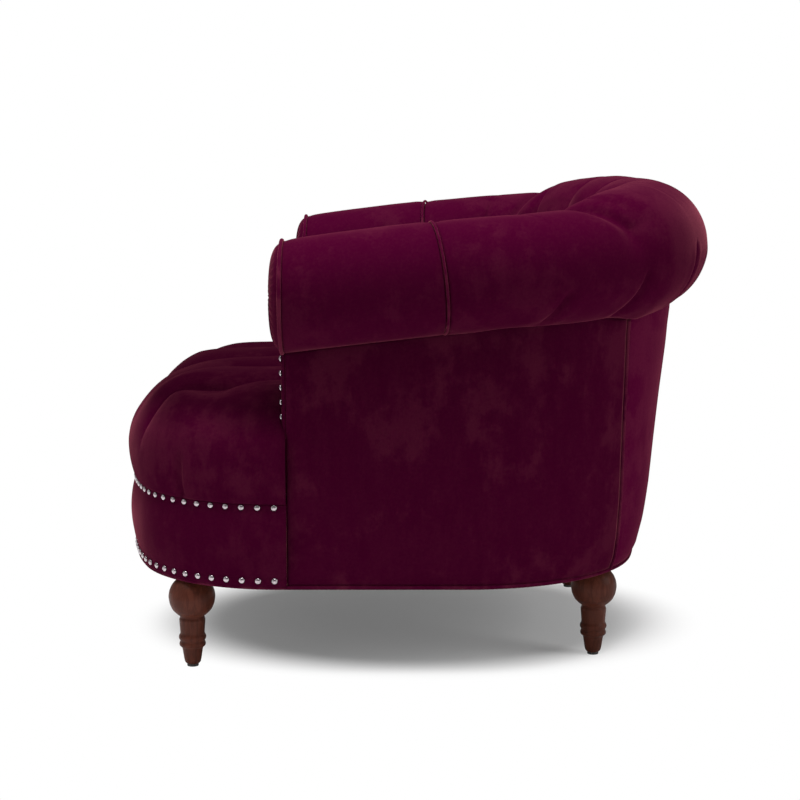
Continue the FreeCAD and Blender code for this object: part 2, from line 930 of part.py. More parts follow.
def seat_deck_points(x, quarter, edge):
    """Points of one column over the deck, from its front edge to the back, with their sinks."""
    fold = fold_share(quarter + 2)
    rear = seat_rear_y(x)
    last_row_y = first_row_y + (seat_rows - 1) * seat_row_pitch
    squeeze = min(1.0, (rear - 10 - first_row_y) / (last_row_y - first_row_y))
    middle = (edge + V(x, first_row_y, edge.z)) / 2
    points, sinks = [middle], [fold]
    for row in range(2 * seat_rows - 1):
        y = first_row_y + row * seat_row_pitch / 2 * squeeze
        sink = tuft_share(quarter + 2, row)
        if quarter > seat_tuft_columns:
            last_x = seat_tuft_columns * seat_quarter
            flatten = (inside_half_width - x) / (inside_half_width - last_x)
            sink = tuft_share(seat_tuft_columns + 2, row) * flatten
        points.append(V(x, y, seat_crown - seat_tuft_depth * sink))
        sinks.append(sink)
    points.append(V(x, rear, seat_crown - seat_tuft_depth * 0.3))
    return points, sinks + [0.3]


def seat_grid():
    """The seat's whole upper surface, a row of points for each column from right to left."""
    grid, depth = [], []
    for x, s, quarter in seat_columns():
        is_end = s >= front_end_distance()
        fold = 0.0 if is_end else fold_share(quarter + 2)
        edge = seat_edge_points(s, fold)
        if is_end:
            edge = [V(p.x, ear_end_y, p.z) for p in edge[:-1]]
            edge.append(V(inside_half_width, ear_end_y, seat_crown))
        points, sinks = seat_deck_points(x, quarter, edge[-1])
        grid.append(edge + points)
        depth.append([fold] * len(edge) + sinks)
    mirror = [[V(-p.x, p.y, p.z) for p in column] for column in grid[:0:-1]]
    return mirror + grid, depth[:0:-1] + depth


def seat_solid(grid, depth):
    """The seat pad: its upper surface, walls beside the arms and a flat underside."""
    faces = cloth_faces(grid, depth)
    edge_rows = seat_edge_steps + 3
    ground = []
    for column, side in ((grid[-1], 1), (grid[0], -1)):
        inner = V(side * inside_half_width, ear_end_y, seat_bottom)
        rear = V(side * inside_half_width, column[-1].y, seat_bottom)
        faces.append(flat_face(column[:edge_rows] + [inner]))
        faces.append(flat_face([inner] + column[edge_rows - 1 :] + [rear]))
        ground.append([inner, rear])
    rear_top = [column[-1] for column in grid]
    rear_low = [V(p.x, p.y, seat_bottom) for p in rear_top]
    faces += cloth_faces([rear_top, rear_low])
    front_low = [column[0] for column in grid]
    underside = front_low + [ground[0][0]] + rear_low[::-1] + [ground[1][0]]
    faces.append(flat_face(underside))
    return solid_of(faces)


def seat_plan(z0, z1, inset):
    """The seat's plan: full width before the arms, and a tongue between them."""
    ears = upright_block(z0, z1, inset - seat_overhang)
    wide = total_depth
    ears = ears.common(box(-wide, wide, -wide, ear_end_y - inset, z0, z1))
    edges, start = bow_edges(
        inside_half_width, inside_corner_radius, inside_bow_radius, inside_back_y, 1, z0, inset
    )
    front = V(start.x, ear_end_y - inset - 20, z0)
    left_front = V(-front.x, front.y, z0)
    sides = [
        line(front, start),
        line(V(-start.x, start.y, z0), left_front),
        line(left_front, front),
    ]
    tongue = prism(Part.Wire(Part.__sortEdges__(sides + edges)), z1 - z0)
    return ears.fuse(tongue).removeSplitter()


def foam_core(grow=0.0):
    z0 = rail_top + 2 * strap_thickness + deck_cloth_thickness
    return seat_plan(z0 - grow, z0 + foam_height + grow, foam_margin - grow)


def make_seat():
    z = rail_top
    wide = total_depth
    inner = upright_block(z, z + strap_thickness, panel_inset + 4)
    straps = []
    for x in strap_columns:
        across = box(x - strap_width / 2, x + strap_width / 2, -wide, wide, z, z + strap_thickness)
        straps.append(inner.common(across))
    z += strap_thickness
    inner = upright_block(z, z + strap_thickness, panel_inset + 4)
    for y in strap_rows:
        across = box(-wide, wide, y - strap_width / 2, y + strap_width / 2, z, z + strap_thickness)
        straps.append(inner.common(across))
    save("seat_webbing", *straps)
    z += strap_thickness
    save("seat_deck_cloth", seat_plan(z, z + deck_cloth_thickness, seat_overhang + panel_inset + 1))
    save("seat_foam", foam_core())
    grid, depth = seat_grid()
    pad = seat_solid(grid, depth).cut(foam_core(seam_gap))
    save("seat_pad", pad)
    rows = [list(row) for row in zip(*grid)]
    sinks = [list(row) for row in zip(*depth)]
    first = seat_edge_steps + 4
    discs = []
    for i in range(first, first + 2 * seat_rows - 1, 2):
        for j in range(1, len(grid) - 1):
            if sinks[i][j] == 1.0:
                discs.append(button(pad, rows, i, j, V(0, -1, 0)))
    save("seat_buttons", *discs)


def make_pads_and_rolls():
    back_roll = back_roll_block()
    for part in (arm_top_rail(seam_gap), rear_post(seam_gap)):
        for shape in both_sides(part):
            back_roll = back_roll.cut(shape)
    save("back_roll", back_roll)
    roll = arm_roll_block().cut(scroll_board(seam_gap)).cut(arm_top_rail(seam_gap))
    save("arm_roll_left", roll)
    save("arm_roll_right", mirrored(roll))
    back_columns = 4 * back_tuft_columns
    grids = pad_grids(back_columns, inside_outline_point)
    back = quilted(*grids)
    save("inside_back", back)
    save("inside_back_buttons", *buttons_on(back, grids[0], back_columns, V(0, inside_lean, 1)))
    arm_columns = 4 * arm_tuft_columns
    grids = pad_grids(arm_columns, arm_pad_point)
    arm = quilted(*grids)
    save("inside_arm_left", arm)
    save("inside_arm_right", mirrored(arm))
    discs = []
    for disc in buttons_on(arm, grids[0], arm_columns, V(0, 0, 1)):
        discs += both_sides(disc)
    save("inside_arm_buttons", *discs)


def rear_place(s, z, inset):
    """A point on the body's outline behind the front, s mm from the middle of the back."""
    back_y = base_back_y + back_lean_per_mm * (z - body_bottom)
    bow_centre, corner_x, corner_y = bow_and_corner(
        body_half_width, rear_corner_radius, rear_bow_radius, back_y, 1
    )
    touch = math.asin(corner_x / (rear_bow_radius - rear_corner_radius))
    bow_length = rear_bow_radius * touch
    corner_length = rear_corner_radius * (math.pi / 2 - touch)
    side = 1 if s >= 0 else -1
    s = abs(s)
    if s <= bow_length:
        angle = s / rear_bow_radius
        r = rear_bow_radius - inset
        point = V(r * math.sin(angle), bow_centre + r * math.cos(angle), z)
    else:
        angle = touch + min((s - bow_length) / rear_corner_radius, math.pi / 2 - touch)
        r = rear_corner_radius - inset
        point = V(corner_x + r * math.sin(angle), corner_y + r * math.cos(angle), z)
        point.y -= max(s - bow_length - corner_length, 0.0)
    return V(side * point.x, point.y, z)


def rear_seam_distance(z, shift):
    """Distance round the back at which its seam runs, shifted sideways."""
    x = rear_seam_x + rear_seam_lean * (z - body_bottom) + shift
    corner_x = body_half_width - rear_corner_radius
    touch = math.asin(corner_x / (rear_bow_radius - rear_corner_radius))
    angle = math.asin((x - corner_x) / rear_corner_radius)
    return rear_bow_radius * touch + rear_corner_radius * (angle - touch)


def panel_end_distance(z):
    """Distance round the back at which the outside of an arm ends in front."""
    back_y = base_back_y + back_lean_per_mm * (z - body_bottom)
    corner_y = bow_and_corner(
        body_half_width, rear_corner_radius, rear_bow_radius, back_y, 1
    )[2]
    return rear_corner_end() + corner_y - arm_front_y - seam_gap


def rear_panel(start_at, end_at, steps, inner, outer):
    """An upholstered panel between two distances round the back, up to the roll's underside."""
    low = body_bottom + welt_size + seam_gap
    guess = roll_seat_height
    sections = []
    for k in range(steps + 1):
        section = []
        for inset in (outer, inner):
            ends = []
            for z in (low, guess):
                s = start_at(z) + (end_at(z) - start_at(z)) * k / steps
                ends.append(rear_place(s, z, inset))
            foot, top = ends
            reach = (under_roll(top) - seam_gap - 2 * facet_sag - low) / (guess - low)
            section.append([foot, foot + (top - foot) * reach])
        sections.append([section[0][0], section[0][1], section[1][1], section[1][0]])
    return stuffed(sections)


def make_outside():
    half = welt_size / 2 + 2 * seam_gap
    panel_inner = panel_thickness - facet_sag

    def seam(shift):
        return lambda z: rear_seam_distance(z, shift)

    side = rear_panel(seam(half), panel_end_distance, 2 * corner_steps, panel_inner, 0.0)
    save("outside_arm_left", side)
    save("outside_arm_right", mirrored(side))

    def far_seam(z):
        return -rear_seam_distance(z, -half)

    middle = rear_panel(far_seam, seam(-half), 2 * corner_steps, panel_inner, 0.0)
    save("outside_back", middle)
    cord = rear_panel(
        seam(-welt_size / 2), seam(welt_size / 2), 1, welt_size - welt_proud, -welt_proud
    )
    save("rear_seam_welts", *both_sides(cord))
    sections = []
    for place in welt_path():
        section = []
        for outset, z in ((-1, 0), (0, 0), (0, 1), (-1, 1)):
            point = place(welt_proud + outset * welt_size)
            section.append(V(point.x, point.y, body_bottom + z * welt_size))
        sections.append(section)
    save("bottom_welt", stuffed(sections, closed=True))


def welt_path():
    """Places round the foot of the body, each a function from outset to point."""
    places = []
    front_end = front_corner_end()
    rear_end = rear_corner_end()
    for k in range(-welt_steps // 2, welt_steps // 2 + 1):
        s = front_end * 2 * k / welt_steps
        places.append(lambda outset, s=s: front_place(s, outset)[0])
    for k in range(welt_steps // 2, -welt_steps // 2 - 1, -1):
        s = rear_end * 2 * k / welt_steps
        places.append(lambda outset, s=s: rear_place(s, body_bottom, -outset))
    return places


def front_end_distance():
    """Distance round the front at which the seat ends beside the arm."""
    corner_y = bow_and_corner(
        body_half_width, front_corner_radius, front_bow_radius, base_front_y, -1
    )[2]
    return front_corner_end() + max(ear_end_y - corner_y, 0.0)


def front_stations():
    """Distances round the front at which its padding is set, from end to end."""
    corner_x = body_half_width - front_corner_radius
    bow_end = front_bow_radius * math.asin(corner_x / (front_bow_radius - front_corner_radius))
    end = front_end_distance()
    half = [bow_end * 2 * k / bow_steps for k in range(bow_steps // 2 + 1)]
    half += [bow_end + (end - bow_end) * k / corner_steps for k in range(1, corner_steps + 1)]
    return [-s for s in half[:0:-1]] + half


def front_corner_end():
    """Distance round the front at which its corner runs into the side."""
    corner_x = body_half_width - front_corner_radius
    touch = math.asin(corner_x / (front_bow_radius - front_corner_radius))
    return front_bow_radius * touch + front_corner_radius * (math.pi / 2 - touch)


def rear_corner_end():
    corner_x = body_half_width - rear_corner_radius
    touch = math.asin(corner_x / (rear_bow_radius - rear_corner_radius))
    return rear_bow_radius * touch + rear_corner_radius * (math.pi / 2 - touch)


def apron():
    """The padded band under the seat and the arms' fronts, flat above and below for its nails."""
    low = body_bottom + welt_size + seam_gap
    high = seat_bottom - seam_gap
    top_margin = nail_line - nail_radius - nail_margin
    low_margin = lower_nail_line + nail_radius + nail_margin
    inner = facet_sag - panel_thickness
    profile = [
        (inner, low),
        (band_rise, low),
        (band_rise, low_margin),
        (band_rise + apron_bulge * 0.8, low_margin + (top_margin - low_margin) * 0.25),
        (band_rise + apron_bulge, (low_margin + top_margin) / 2),
        (band_rise + apron_bulge * 0.8, low_margin + (top_margin - low_margin) * 0.75),
        (band_rise, top_margin),
        (band_rise, high),
        (inner, high),
    ]
    stations = front_stations()
    stations[0] -= arm_front_pad + seam_gap
    stations[-1] += arm_front_pad + seam_gap
    sections = []
    for s in stations:
        section = []
        for outset, z in profile:
            point = front_place(s, outset)[0]
            section.append(V(point.x, point.y, z))
        sections.append(section)
    return stuffed(sections)


def front_place(s, outset):
    """A point and outward direction on the front outline, s mm from its middle."""
    bow_centre, corner_x, corner_y = bow_and_corner(
        body_half_width, front_corner_radius, front_bow_radius, base_front_y, -1
    )
    touch = math.asin(corner_x / (front_bow_radius - front_corner_radius))
    bow_length = front_bow_radius * touch
    side = 1 if s >= 0 else -1
    s = abs(s)
    if s <= bow_length:
        angle = s / front_bow_radius
        out = V(math.sin(angle), -math.cos(angle), 0)
        point = V(0, bow_centre, 0) + out * (front_bow_radius + outset)
    else:
        angle = min(touch + (s - bow_length) / front_corner_radius, math.pi / 2)
        out = V(math.sin(angle), -math.cos(angle), 0)
        point = V(corner_x, corner_y, 0) + out * (front_corner_radius + outset)
        point.y += max(s - bow_length - front_corner_radius * (math.pi / 2 - touch), 0.0)
    return V(side * point.x, point.y, 0), V(side * out.x, out.y, 0)


def nail(place, out):
    """A nail's domed head, faceted."""
    return head(place, out, nail_sides, ((0.0, nail_radius), (nail_rise, 0.0)))


def make_front():
    save("apron_panel", apron())
    rows = {"apron_nails_lower": lower_nail_line, "apron_nails_upper": nail_line}
    for name, z in rows.items():
        heads = []
        count = int(front_length() / nail_pitch)
        for k in range(-count, count + 1):
            point, out = front_place(k * nail_pitch, band_rise + 0.05)
            heads.append(nail(V(point.x, point.y, z), out))
        save(name, *heads)


def front_length():
    """Length of the front outline from its middle to the last place for a nail."""
    s = 0.0
    while front_place(s, 0.0)[0].y < ear_end_y - nail_radius - 1:
        s += 1.0
    return s - 1.0


def roll_welt(centre_y, height, first, last):
    """Piping round an arm's roll, between two angles from the outside over the top."""
    sections = []
    closed = last - first >= 360
    steps = welt_steps
    for k in range(steps + (0 if closed else 1)):
        angle = math.radians(first + (last - first) * k / steps)
        spoke = V(math.cos(angle), 0, math.sin(angle))
        section = []
        for y, out in ((-0.5, -1), (0.5, -1), (0.5, 0), (-0.5, 0)):
            radius = arm_roll_radius + welt_proud + out * welt_size
            section.append(V(arm_roll_x, centre_y + y * welt_size, height) + spoke * radius)
        sections.append(section)
    return stuffed(sections, closed)


# Rings of the facing: share of its radius, share of its bulge and depth of its pleats
facing_rings = (
    (1.0, 0.0, 0.0),
    (0.97, 0.5, 1.0),
    (0.62, 0.93, 1.0),
    (0.12, 1.0, 0.4),
)


def pleated_facing():
    """A domed rosette of pleats that meet in the middle."""
    centre = V(arm_roll_x, arm_front_y - seam_gap, arm_roll_front_height)
    rings = []
    for share, rise, pleat in facing_rings:
        ring = []
        for k in range(2 * facing_pleats):
            angle = math.pi * k / facing_pleats
            lift = facing_bulge * rise - facing_pleat_depth * pleat * (k % 2)
            spoke = V(math.cos(angle), 0, math.sin(angle)) * (facing_radius * share)
            ring.append(centre + spoke + V(0, -lift, 0))
        rings.append(ring)
    return stuffed(rings[:-1] + [flat_ring(rings[-1])])


def flat_ring(ring):
    """A ring of points brought to the mean depth of its pleats."""
    y = sum(point.y for point in ring) / len(ring)
    return [V(point.x, y, point.z) for point in ring]


def make_arm_fronts():
    face_y = arm_front_y - seam_gap
    front = roll_welt(face_y - welt_size / 2, arm_roll_front_height, 0, 360)
    middle_y = arm_front_y + arm_section_length + seam_gap + welt_size / 2
    middle = roll_welt(middle_y, arm_height(middle_y), middle_welt_start, middle_welt_end)
    save("arm_welts", *both_sides(front), *both_sides(middle))
    axis_z = arm_roll_front_height
    facing = pleated_facing()
    save("arm_facings", *both_sides(facing))
    panel = box(
        inside_half_width + 2,
        body_half_width - 2,
        arm_front_y - seam_gap - arm_front_pad,
        arm_front_y - seam_gap,
        seat_bottom,
        axis_z,
    )
    clear = Part.makeCylinder(
        arm_roll_radius + welt_proud + seam_gap,
        4 * arm_front_pad,
        V(arm_roll_x, arm_front_y - 3 * arm_front_pad, axis_z),
        V(0, 1, 0),
    )
    panel = panel.cut(clear)
    save("arm_front_panel_left", panel)
    save("arm_front_panel_right", mirrored(panel))
    heads = []
    nail_y = arm_front_y - seam_gap - arm_front_pad - 0.05
    low = seat_bulge_height + arm_nail_over_bulge
    room = arm_roll_front_height - arm_roll_radius - arm_nail_margin - low
    columns = (
        (body_half_width - 2 - nail_radius - 1, low, 1 + int(room / arm_nail_pitch)),
        (inside_half_width + 2 + nail_radius + 1, seat_crown + inner_nail_over_seat, inner_nail_count),
    )
    for x, start, count in columns:
        for k in range(count):
            heads.append(nail(V(x, nail_y, start + k * arm_nail_pitch), V(0, -1, 0)))
    save("arm_front_nails", *[side for head in heads for side in both_sides(head)])


# Height and radius at each ring of a leg, from foot to ball
leg_profile = (
    (4.0, 10.0),
    (8.0, 12.9),
    (31.0, 16.3),
    (35.5, 21.0),
    (41.0, 19.0),
    (46.5, 21.8),
    (52.0, 19.0),
    (77.0, 20.6),
    (79.5, 18.2),
    (84.0, 23.0),
    (95.0, 33.2),
    (112.0, 36.6),
    (128.0, 31.5),
    (142.0, 19.2),
)


def turned_leg():
    rings = []
    for z, r in leg_profile:
        rings.append(ring_points(V(0, 0, z), V(1, 0, 0), V(0, 1, 0), r, leg_sides))
    return stuffed(rings)


def make_legs():
    leg = turned_leg()
    rings = ((0.0, glide_radius), (glide_height, glide_radius))
    glide = head(V(0, 0, glide_height), V(0, 0, -1), glide_sides, rings)
    groups = {"turned_legs": leg, "leg_glides": glide}
    for name, shape in groups.items():
        copies = []
        for x, y in leg_places():
            copy = shape.copy()
            copy.translate(V(x, y, 0))
            copies.append(copy)
        save(name, *copies)
    cover = upright_block(body_bottom + 0.6, base_bottom - 0.2, welt_size)
    for x, y in leg_places():
        notch = leg_clear_radius
        reach_x = math.copysign(total_depth, x)
        reach_y = math.copysign(total_depth, y)
        x0, x1 = sorted((x - math.copysign(notch, x), reach_x))
        y0, y1 = sorted((y - math.copysign(notch, y), reach_y))
        cover = cover.cut(box(x0, x1, y0, y1, body_bottom, base_bottom))
    save("dust_cover", cover)


make_base_frame()
make_arm_and_back_frame()
make_seat()
make_pads_and_rolls()
make_outside()
make_front()
make_arm_fronts()
make_legs()
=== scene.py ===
"""Looks of a deep-buttoned velvet armchair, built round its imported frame."""

import math

import bmesh
import bpy
import numpy as np
from bpy.props import FloatProperty, FloatVectorProperty, IntProperty, PointerProperty
from mathutils import Matrix, Vector, noise


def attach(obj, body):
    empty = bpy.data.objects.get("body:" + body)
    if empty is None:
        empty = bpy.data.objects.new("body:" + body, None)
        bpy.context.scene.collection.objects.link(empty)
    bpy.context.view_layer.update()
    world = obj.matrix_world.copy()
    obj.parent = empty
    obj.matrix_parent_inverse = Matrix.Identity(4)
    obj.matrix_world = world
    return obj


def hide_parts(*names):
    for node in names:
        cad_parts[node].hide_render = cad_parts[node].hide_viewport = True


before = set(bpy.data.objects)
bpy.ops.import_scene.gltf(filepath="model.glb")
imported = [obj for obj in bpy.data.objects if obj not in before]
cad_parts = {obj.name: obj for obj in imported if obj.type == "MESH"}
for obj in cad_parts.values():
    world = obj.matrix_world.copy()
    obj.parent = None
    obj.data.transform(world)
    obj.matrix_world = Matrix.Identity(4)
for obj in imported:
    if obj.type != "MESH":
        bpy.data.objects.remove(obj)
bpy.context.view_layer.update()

bl_info = {
    "name": "Buttoned Armchair",
    "version": (1, 0, 0),
    "blender": (4, 5, 0),
    "location": "3D View > Sidebar > Armchair",
    "description": "Builds the covers, trim, legs and stage of a deep-buttoned armchair",
    "category": "Add Mesh",
}

# Sizes that the covers share with the frame, in metres
TOTAL_DEPTH = 0.963
HALF_WIDTH = 0.370
BODY_BOTTOM = 0.1405
SEAM_GAP = 0.0003
FRONT_BOW, FRONT_CORNER = 0.650, 0.228
REAR_BOW, REAR_CORNER = 0.700, 0.277
SEAT_OVERHANG = 0.014
BASE_FRONT_Y = -TOTAL_DEPTH / 2 + SEAT_OVERHANG
BASE_BACK_Y = TOTAL_DEPTH / 2 - 0.122
BACK_LEAN = 0.153
ARM_FRONT_Y = -TOTAL_DEPTH / 2 + 0.282
ARM_SECTION = 0.224
ARM_X, ARM_RADIUS = 0.372, 0.084
ARM_FRONT_HEIGHT, ARM_RISE = 0.5865, 0.0275
ROLL_CORNER, ROLL_BOW = 0.210, 0.640
ROLL_RADIUS, ROLL_HEIGHT = 0.106, 0.6485
ROLL_SEAT_SHARE = 0.93
INSIDE_X, INSIDE_CORNER, INSIDE_BOW = 0.285, 0.120, 0.560
INSIDE_BACK_Y = TOTAL_DEPTH / 2 - 0.284
INSIDE_LEAN = 0.333
PAD_THICKNESS, PAD_BOTTOM, PAD_END_Y = 0.033, 0.300, 0.0447
LOWEST_TUFT, TUFT_ROW_SHARE = 0.478, 0.21
BACK_COLUMNS, ARM_COLUMNS = 10, 3
NAIL_LINE, LOWER_NAIL_LINE = 0.2675, 0.1545
SEAT_BOTTOM = 0.2733
SEAT_CROWN, SEAT_BULGE = 0.442, 0.328
SEAT_PITCH, SEAT_ROW = 0.155, 0.130
WELT_SIZE = 0.006
EAR_END_Y = ARM_FRONT_Y - 0.006 - 2 * SEAM_GAP
# Where each pleat of half the back lies on the roll, outside and inside, by its column
PLEAT_COLUMNS = (0, 1, 2, 3, 4, 5)
PLEAT_OUTER = (0.5986, 0.480, 0.352, 0.247, 0.142, 0.0)
PLEAT_INNER = (0.5986, 0.498, 0.396, 0.247, 0.097, 0.0)
PLEAT_LOW_START = (5.0, 5.0, 12.0, 2.0, -14.0, -60.0)
LEG_PLACES = ((0.292, -0.3525), (-0.292, -0.3525), (0.224, 0.281), (-0.224, 0.281))
PLEAT_SLANT = (0.0, 0.0, 0.018, 0.018, 0.030, 0.0)
UP = (0.0, 0.0, 1.0)
FORWARD = (0.0, -1.0, 0.0)
COVER_THICKNESS = 0.0072
STRIP_BOTTOM = 0.372
PIPING_RISE = 0.0025
PUCKER_SHARE, PUCKER_PITCH = 0.035, 0.007
FACE_Y = ARM_FRONT_Y - SEAM_GAP
FACING_RADIUS = 0.0808
# Rows of buttons in half diamonds up from the lowest, with how far each is shifted across
BUTTON_ROWS = ((0, 0.0), (2, 0.5), (4, 0.0))
SEAT_BUTTON_ROWS = ((-1.5, -0.5, 0.5, 1.5), (-1, 0, 1), (-1.5, -0.5, 0.5, 1.5))
BUTTON_DOME, BUTTON_LIFT = 0.0058, 0.0022
NAIL_DOME = 0.0031
# Distance from the middle, lowest nail's height and number of the nails on each arm's front
ARM_NAIL_ROWS = ((0.362, 0.4045, 5), (0.293, 0.468, 2))
ARM_NAIL_Y, ARM_NAIL_PITCH = ARM_FRONT_Y - 0.0064, 0.022
TIMBER_NAMES = (
    "base_", "corner_", "arm_scroll", "arm_top", "arm_tack", "rear_post", "back_",
)

# How far the stretched outside back stands out, by height
BELLY_HEIGHTS = (0.1405, 0.165, 0.20, 0.26, 0.33, 0.41, 0.52)
BELLY_RISES = (0.002, 0.008, 0.0095, 0.008, 0.004, 0.0, -0.004)

# How the back roll climbs and fills out from the arm, and where its nose lies by turn
ROLL_PLACES = (0.0, 0.10, 0.20, 0.25, 0.30, 0.36, 0.42)
ROLL_HEIGHTS = (ARM_FRONT_HEIGHT + ARM_RISE, 0.6225, 0.6295, 0.634, 0.641, 0.647, ROLL_HEIGHT)
ROLL_SWELL, ROLL_FULLNESS = 0.002, 0.0145
NOSE_TURNS, NOSE_PLACES = (40.0, 150.0), (0.250, 0.175)


# Plan curves


def bow_and_corner(half_width, corner, bow, bow_y, side):
    """Centres of a bow and of its round corner; side is 1 for the back, -1 for the front."""
    bow_centre = bow_y - side * bow
    corner_x = half_width - corner
    reach = math.sqrt((bow - corner) ** 2 - corner_x**2)
    return bow_centre, corner_x, bow_centre + side * reach


def around(s, corner, bow, centres, side, outset):
    """Point and outward direction s round an outline from its middle, pushed out by outset."""
    bow_centre, corner_x, corner_y = centres
    touch = math.asin(corner_x / (bow - corner))
    sign = 1 if s >= 0 else -1
    s = abs(s)
    bow_length = bow * touch
    corner_length = corner * (math.pi / 2 - touch)
    if s <= bow_length:
        angle = s / bow
        x = (bow + outset) * math.sin(angle)
        y = bow_centre + side * (bow + outset) * math.cos(angle)
    else:
        angle = min(touch + (s - bow_length) / corner, math.pi / 2)
        x = corner_x + (corner + outset) * math.sin(angle)
        y = corner_y + side * (corner + outset) * math.cos(angle)
        y -= side * max(s - bow_length - corner_length, 0.0)
    out = np.array((sign * math.sin(angle), side * math.cos(angle), 0.0))
    return np.array((sign * x, y, 0.0)), out


def front_place(s, outset=0.0):
    centres = bow_and_corner(HALF_WIDTH, FRONT_CORNER, FRONT_BOW, BASE_FRONT_Y, -1)
    return around(s, FRONT_CORNER, FRONT_BOW, centres, -1, outset)


def rear_y(z):
    """Where the middle of the stretched back lies at a height."""
    belly = float(np.interp(z, BELLY_HEIGHTS, BELLY_RISES))
    return BASE_BACK_Y + BACK_LEAN * (z - BODY_BOTTOM) + belly


def rear_place(s, z, outset=0.0):
    centres = bow_and_corner(HALF_WIDTH, REAR_CORNER, REAR_BOW, rear_y(z), 1)
    point, out = around(s, REAR_CORNER, REAR_BOW, centres, 1, outset)
    point[2] = z
    return point, out


def corner_end(corner, bow):
    """Distance from the middle of an outline to where its corner ends."""
    touch = math.asin((HALF_WIDTH - corner) / (bow - corner))
    return bow * touch + corner * (math.pi / 2 - touch)


def front_end():
    """Distance round the front to where the seat and its band end beside the arm."""
    corner_y = bow_and_corner(HALF_WIDTH, FRONT_CORNER, FRONT_BOW, BASE_FRONT_Y, -1)[2]
    return corner_end(FRONT_CORNER, FRONT_BOW) + max(EAR_END_Y - corner_y, 0.0)


ROLL_START_Y = ARM_FRONT_Y + ARM_SECTION + WELT_SIZE + 2 * SEAM_GAP
MIDDLE_SEAM_Y = ARM_FRONT_Y + ARM_SECTION + SEAM_GAP + WELT_SIZE / 2
ROLL_CENTRES = bow_and_corner(ARM_X, ROLL_CORNER, ROLL_BOW, TOTAL_DEPTH / 2 - ROLL_RADIUS, 1)
ROLL_TURN = math.atan2(ROLL_CENTRES[2] - ROLL_CENTRES[0], ROLL_CENTRES[1])
ROLL_STRAIGHT = ROLL_CENTRES[2] - ROLL_START_Y


def roll_place(s):
    """Centre and outward direction of the back roll, s from where it joins the arm."""
    bow_centre, corner_x, corner_y = ROLL_CENTRES
    if s <= ROLL_STRAIGHT:
        return np.array((ARM_X, ROLL_START_Y + s, 0.0)), np.array((1.0, 0.0, 0.0))
    if s <= ROLL_STRAIGHT + ROLL_CORNER * ROLL_TURN:
        angle = (s - ROLL_STRAIGHT) / ROLL_CORNER
        out = np.array((math.cos(angle), math.sin(angle), 0.0))
        return np.array((corner_x, corner_y, 0.0)) + out * ROLL_CORNER, out
    angle = ROLL_TURN + (s - ROLL_STRAIGHT - ROLL_CORNER * ROLL_TURN) / ROLL_BOW
    out = np.array((math.cos(angle), math.sin(angle), 0.0))
    return np.array((0.0, bow_centre, 0.0)) + out * ROLL_BOW, out


def ease(value):
    value = np.clip(value, 0.0, 1.0)
    return value * value * (3 - 2 * value)


def hump(distance, width):
    """A smooth bump from 1 at no distance down to 0 well beyond the width."""
    return np.exp(-((distance / width) ** 2))


def roll_size(s, turn=0.0, hollow=0.0):
    """Radius and centre height of the back roll s from the arm, turn degrees up from outside.

    It stays slim as far as the nose, where a hollow runs slantwise over it, and is full beyond.
    """
    nose = np.interp(turn, NOSE_TURNS, NOSE_PLACES)
    radius = ARM_RADIUS + ROLL_SWELL * min(s / 0.2, 1.0)
    radius += ROLL_FULLNESS * float(ease((s - nose + 0.005) / 0.055))
    over_crown = float(ease((turn + 5) / 50) * ease((175 - turn) / 40))
    radius -= hollow * hump(s - nose, 0.016 if s < nose else 0.009) * over_crown
    return radius, float(np.interp(s, ROLL_PLACES, ROLL_HEIGHTS))


def seat_share(s):
    """How far below its centre the roll reaches, as a share of its radius."""
    return 0.995 + (ROLL_SEAT_SHARE - 0.995) * float(ease(s / 0.1))


def arm_height(y):
    return ARM_FRONT_HEIGHT + ARM_RISE * (y - ARM_FRONT_Y) / ARM_SECTION


def inside_place(u, z, sink=0.0):
    """A point on the inside back's face, u from 0 at the +X end to 1 at the -X end."""
    back_y = INSIDE_BACK_Y + INSIDE_LEAN * max(z - SEAT_CROWN, 0.0)
    bow_centre, corner_x, corner_y = bow_and_corner(
        INSIDE_X, INSIDE_CORNER, INSIDE_BOW, back_y, 1
    )
    turn = math.atan2(corner_y - bow_centre, corner_x)
    straight = corner_y - PAD_END_Y
    half = straight + INSIDE_CORNER * turn + INSIDE_BOW * (math.pi / 2 - turn)
    s = (1 - abs(1 - 2 * u)) * half
    side = 1 if u <= 0.5 else -1
    if s <= straight:
        point, out = (INSIDE_X + sink, PAD_END_Y + s), (1.0, 0.0)
    elif s <= straight + INSIDE_CORNER * turn:
        angle = (s - straight) / INSIDE_CORNER
        r = INSIDE_CORNER + sink
        out = math.cos(angle), math.sin(angle)
        point = corner_x + r * out[0], corner_y + r * out[1]
    else:
        angle = turn + (s - straight - INSIDE_CORNER * turn) / INSIDE_BOW
        r = INSIDE_BOW + sink
        out = math.cos(angle), math.sin(angle)
        point = r * out[0], bow_centre + r * out[1]
    return np.array((side * point[0], point[1], z)), np.array((side * out[0], out[1], 0.0))


# Mesh helpers


def grid_normals(grid, at, towards, wrap_rows=False):
    """Unit normals of a grid, turned so that the one at (row, column) looks towards a direction."""
    if wrap_rows:
        down = np.roll(grid, -1, 0) - np.roll(grid, 1, 0)
    else:
        down = np.gradient(grid, axis=0)
    normal = np.cross(down, np.gradient(grid, axis=1))
    normal /= np.maximum(np.linalg.norm(normal, axis=2, keepdims=True), 1e-9)
    return normal if np.dot(normal[at], towards) > 0 else -normal


def grid_of(columns):
    """Rows by columns of points, from a list of columns."""
    return np.array(columns).transpose(1, 0, 2)


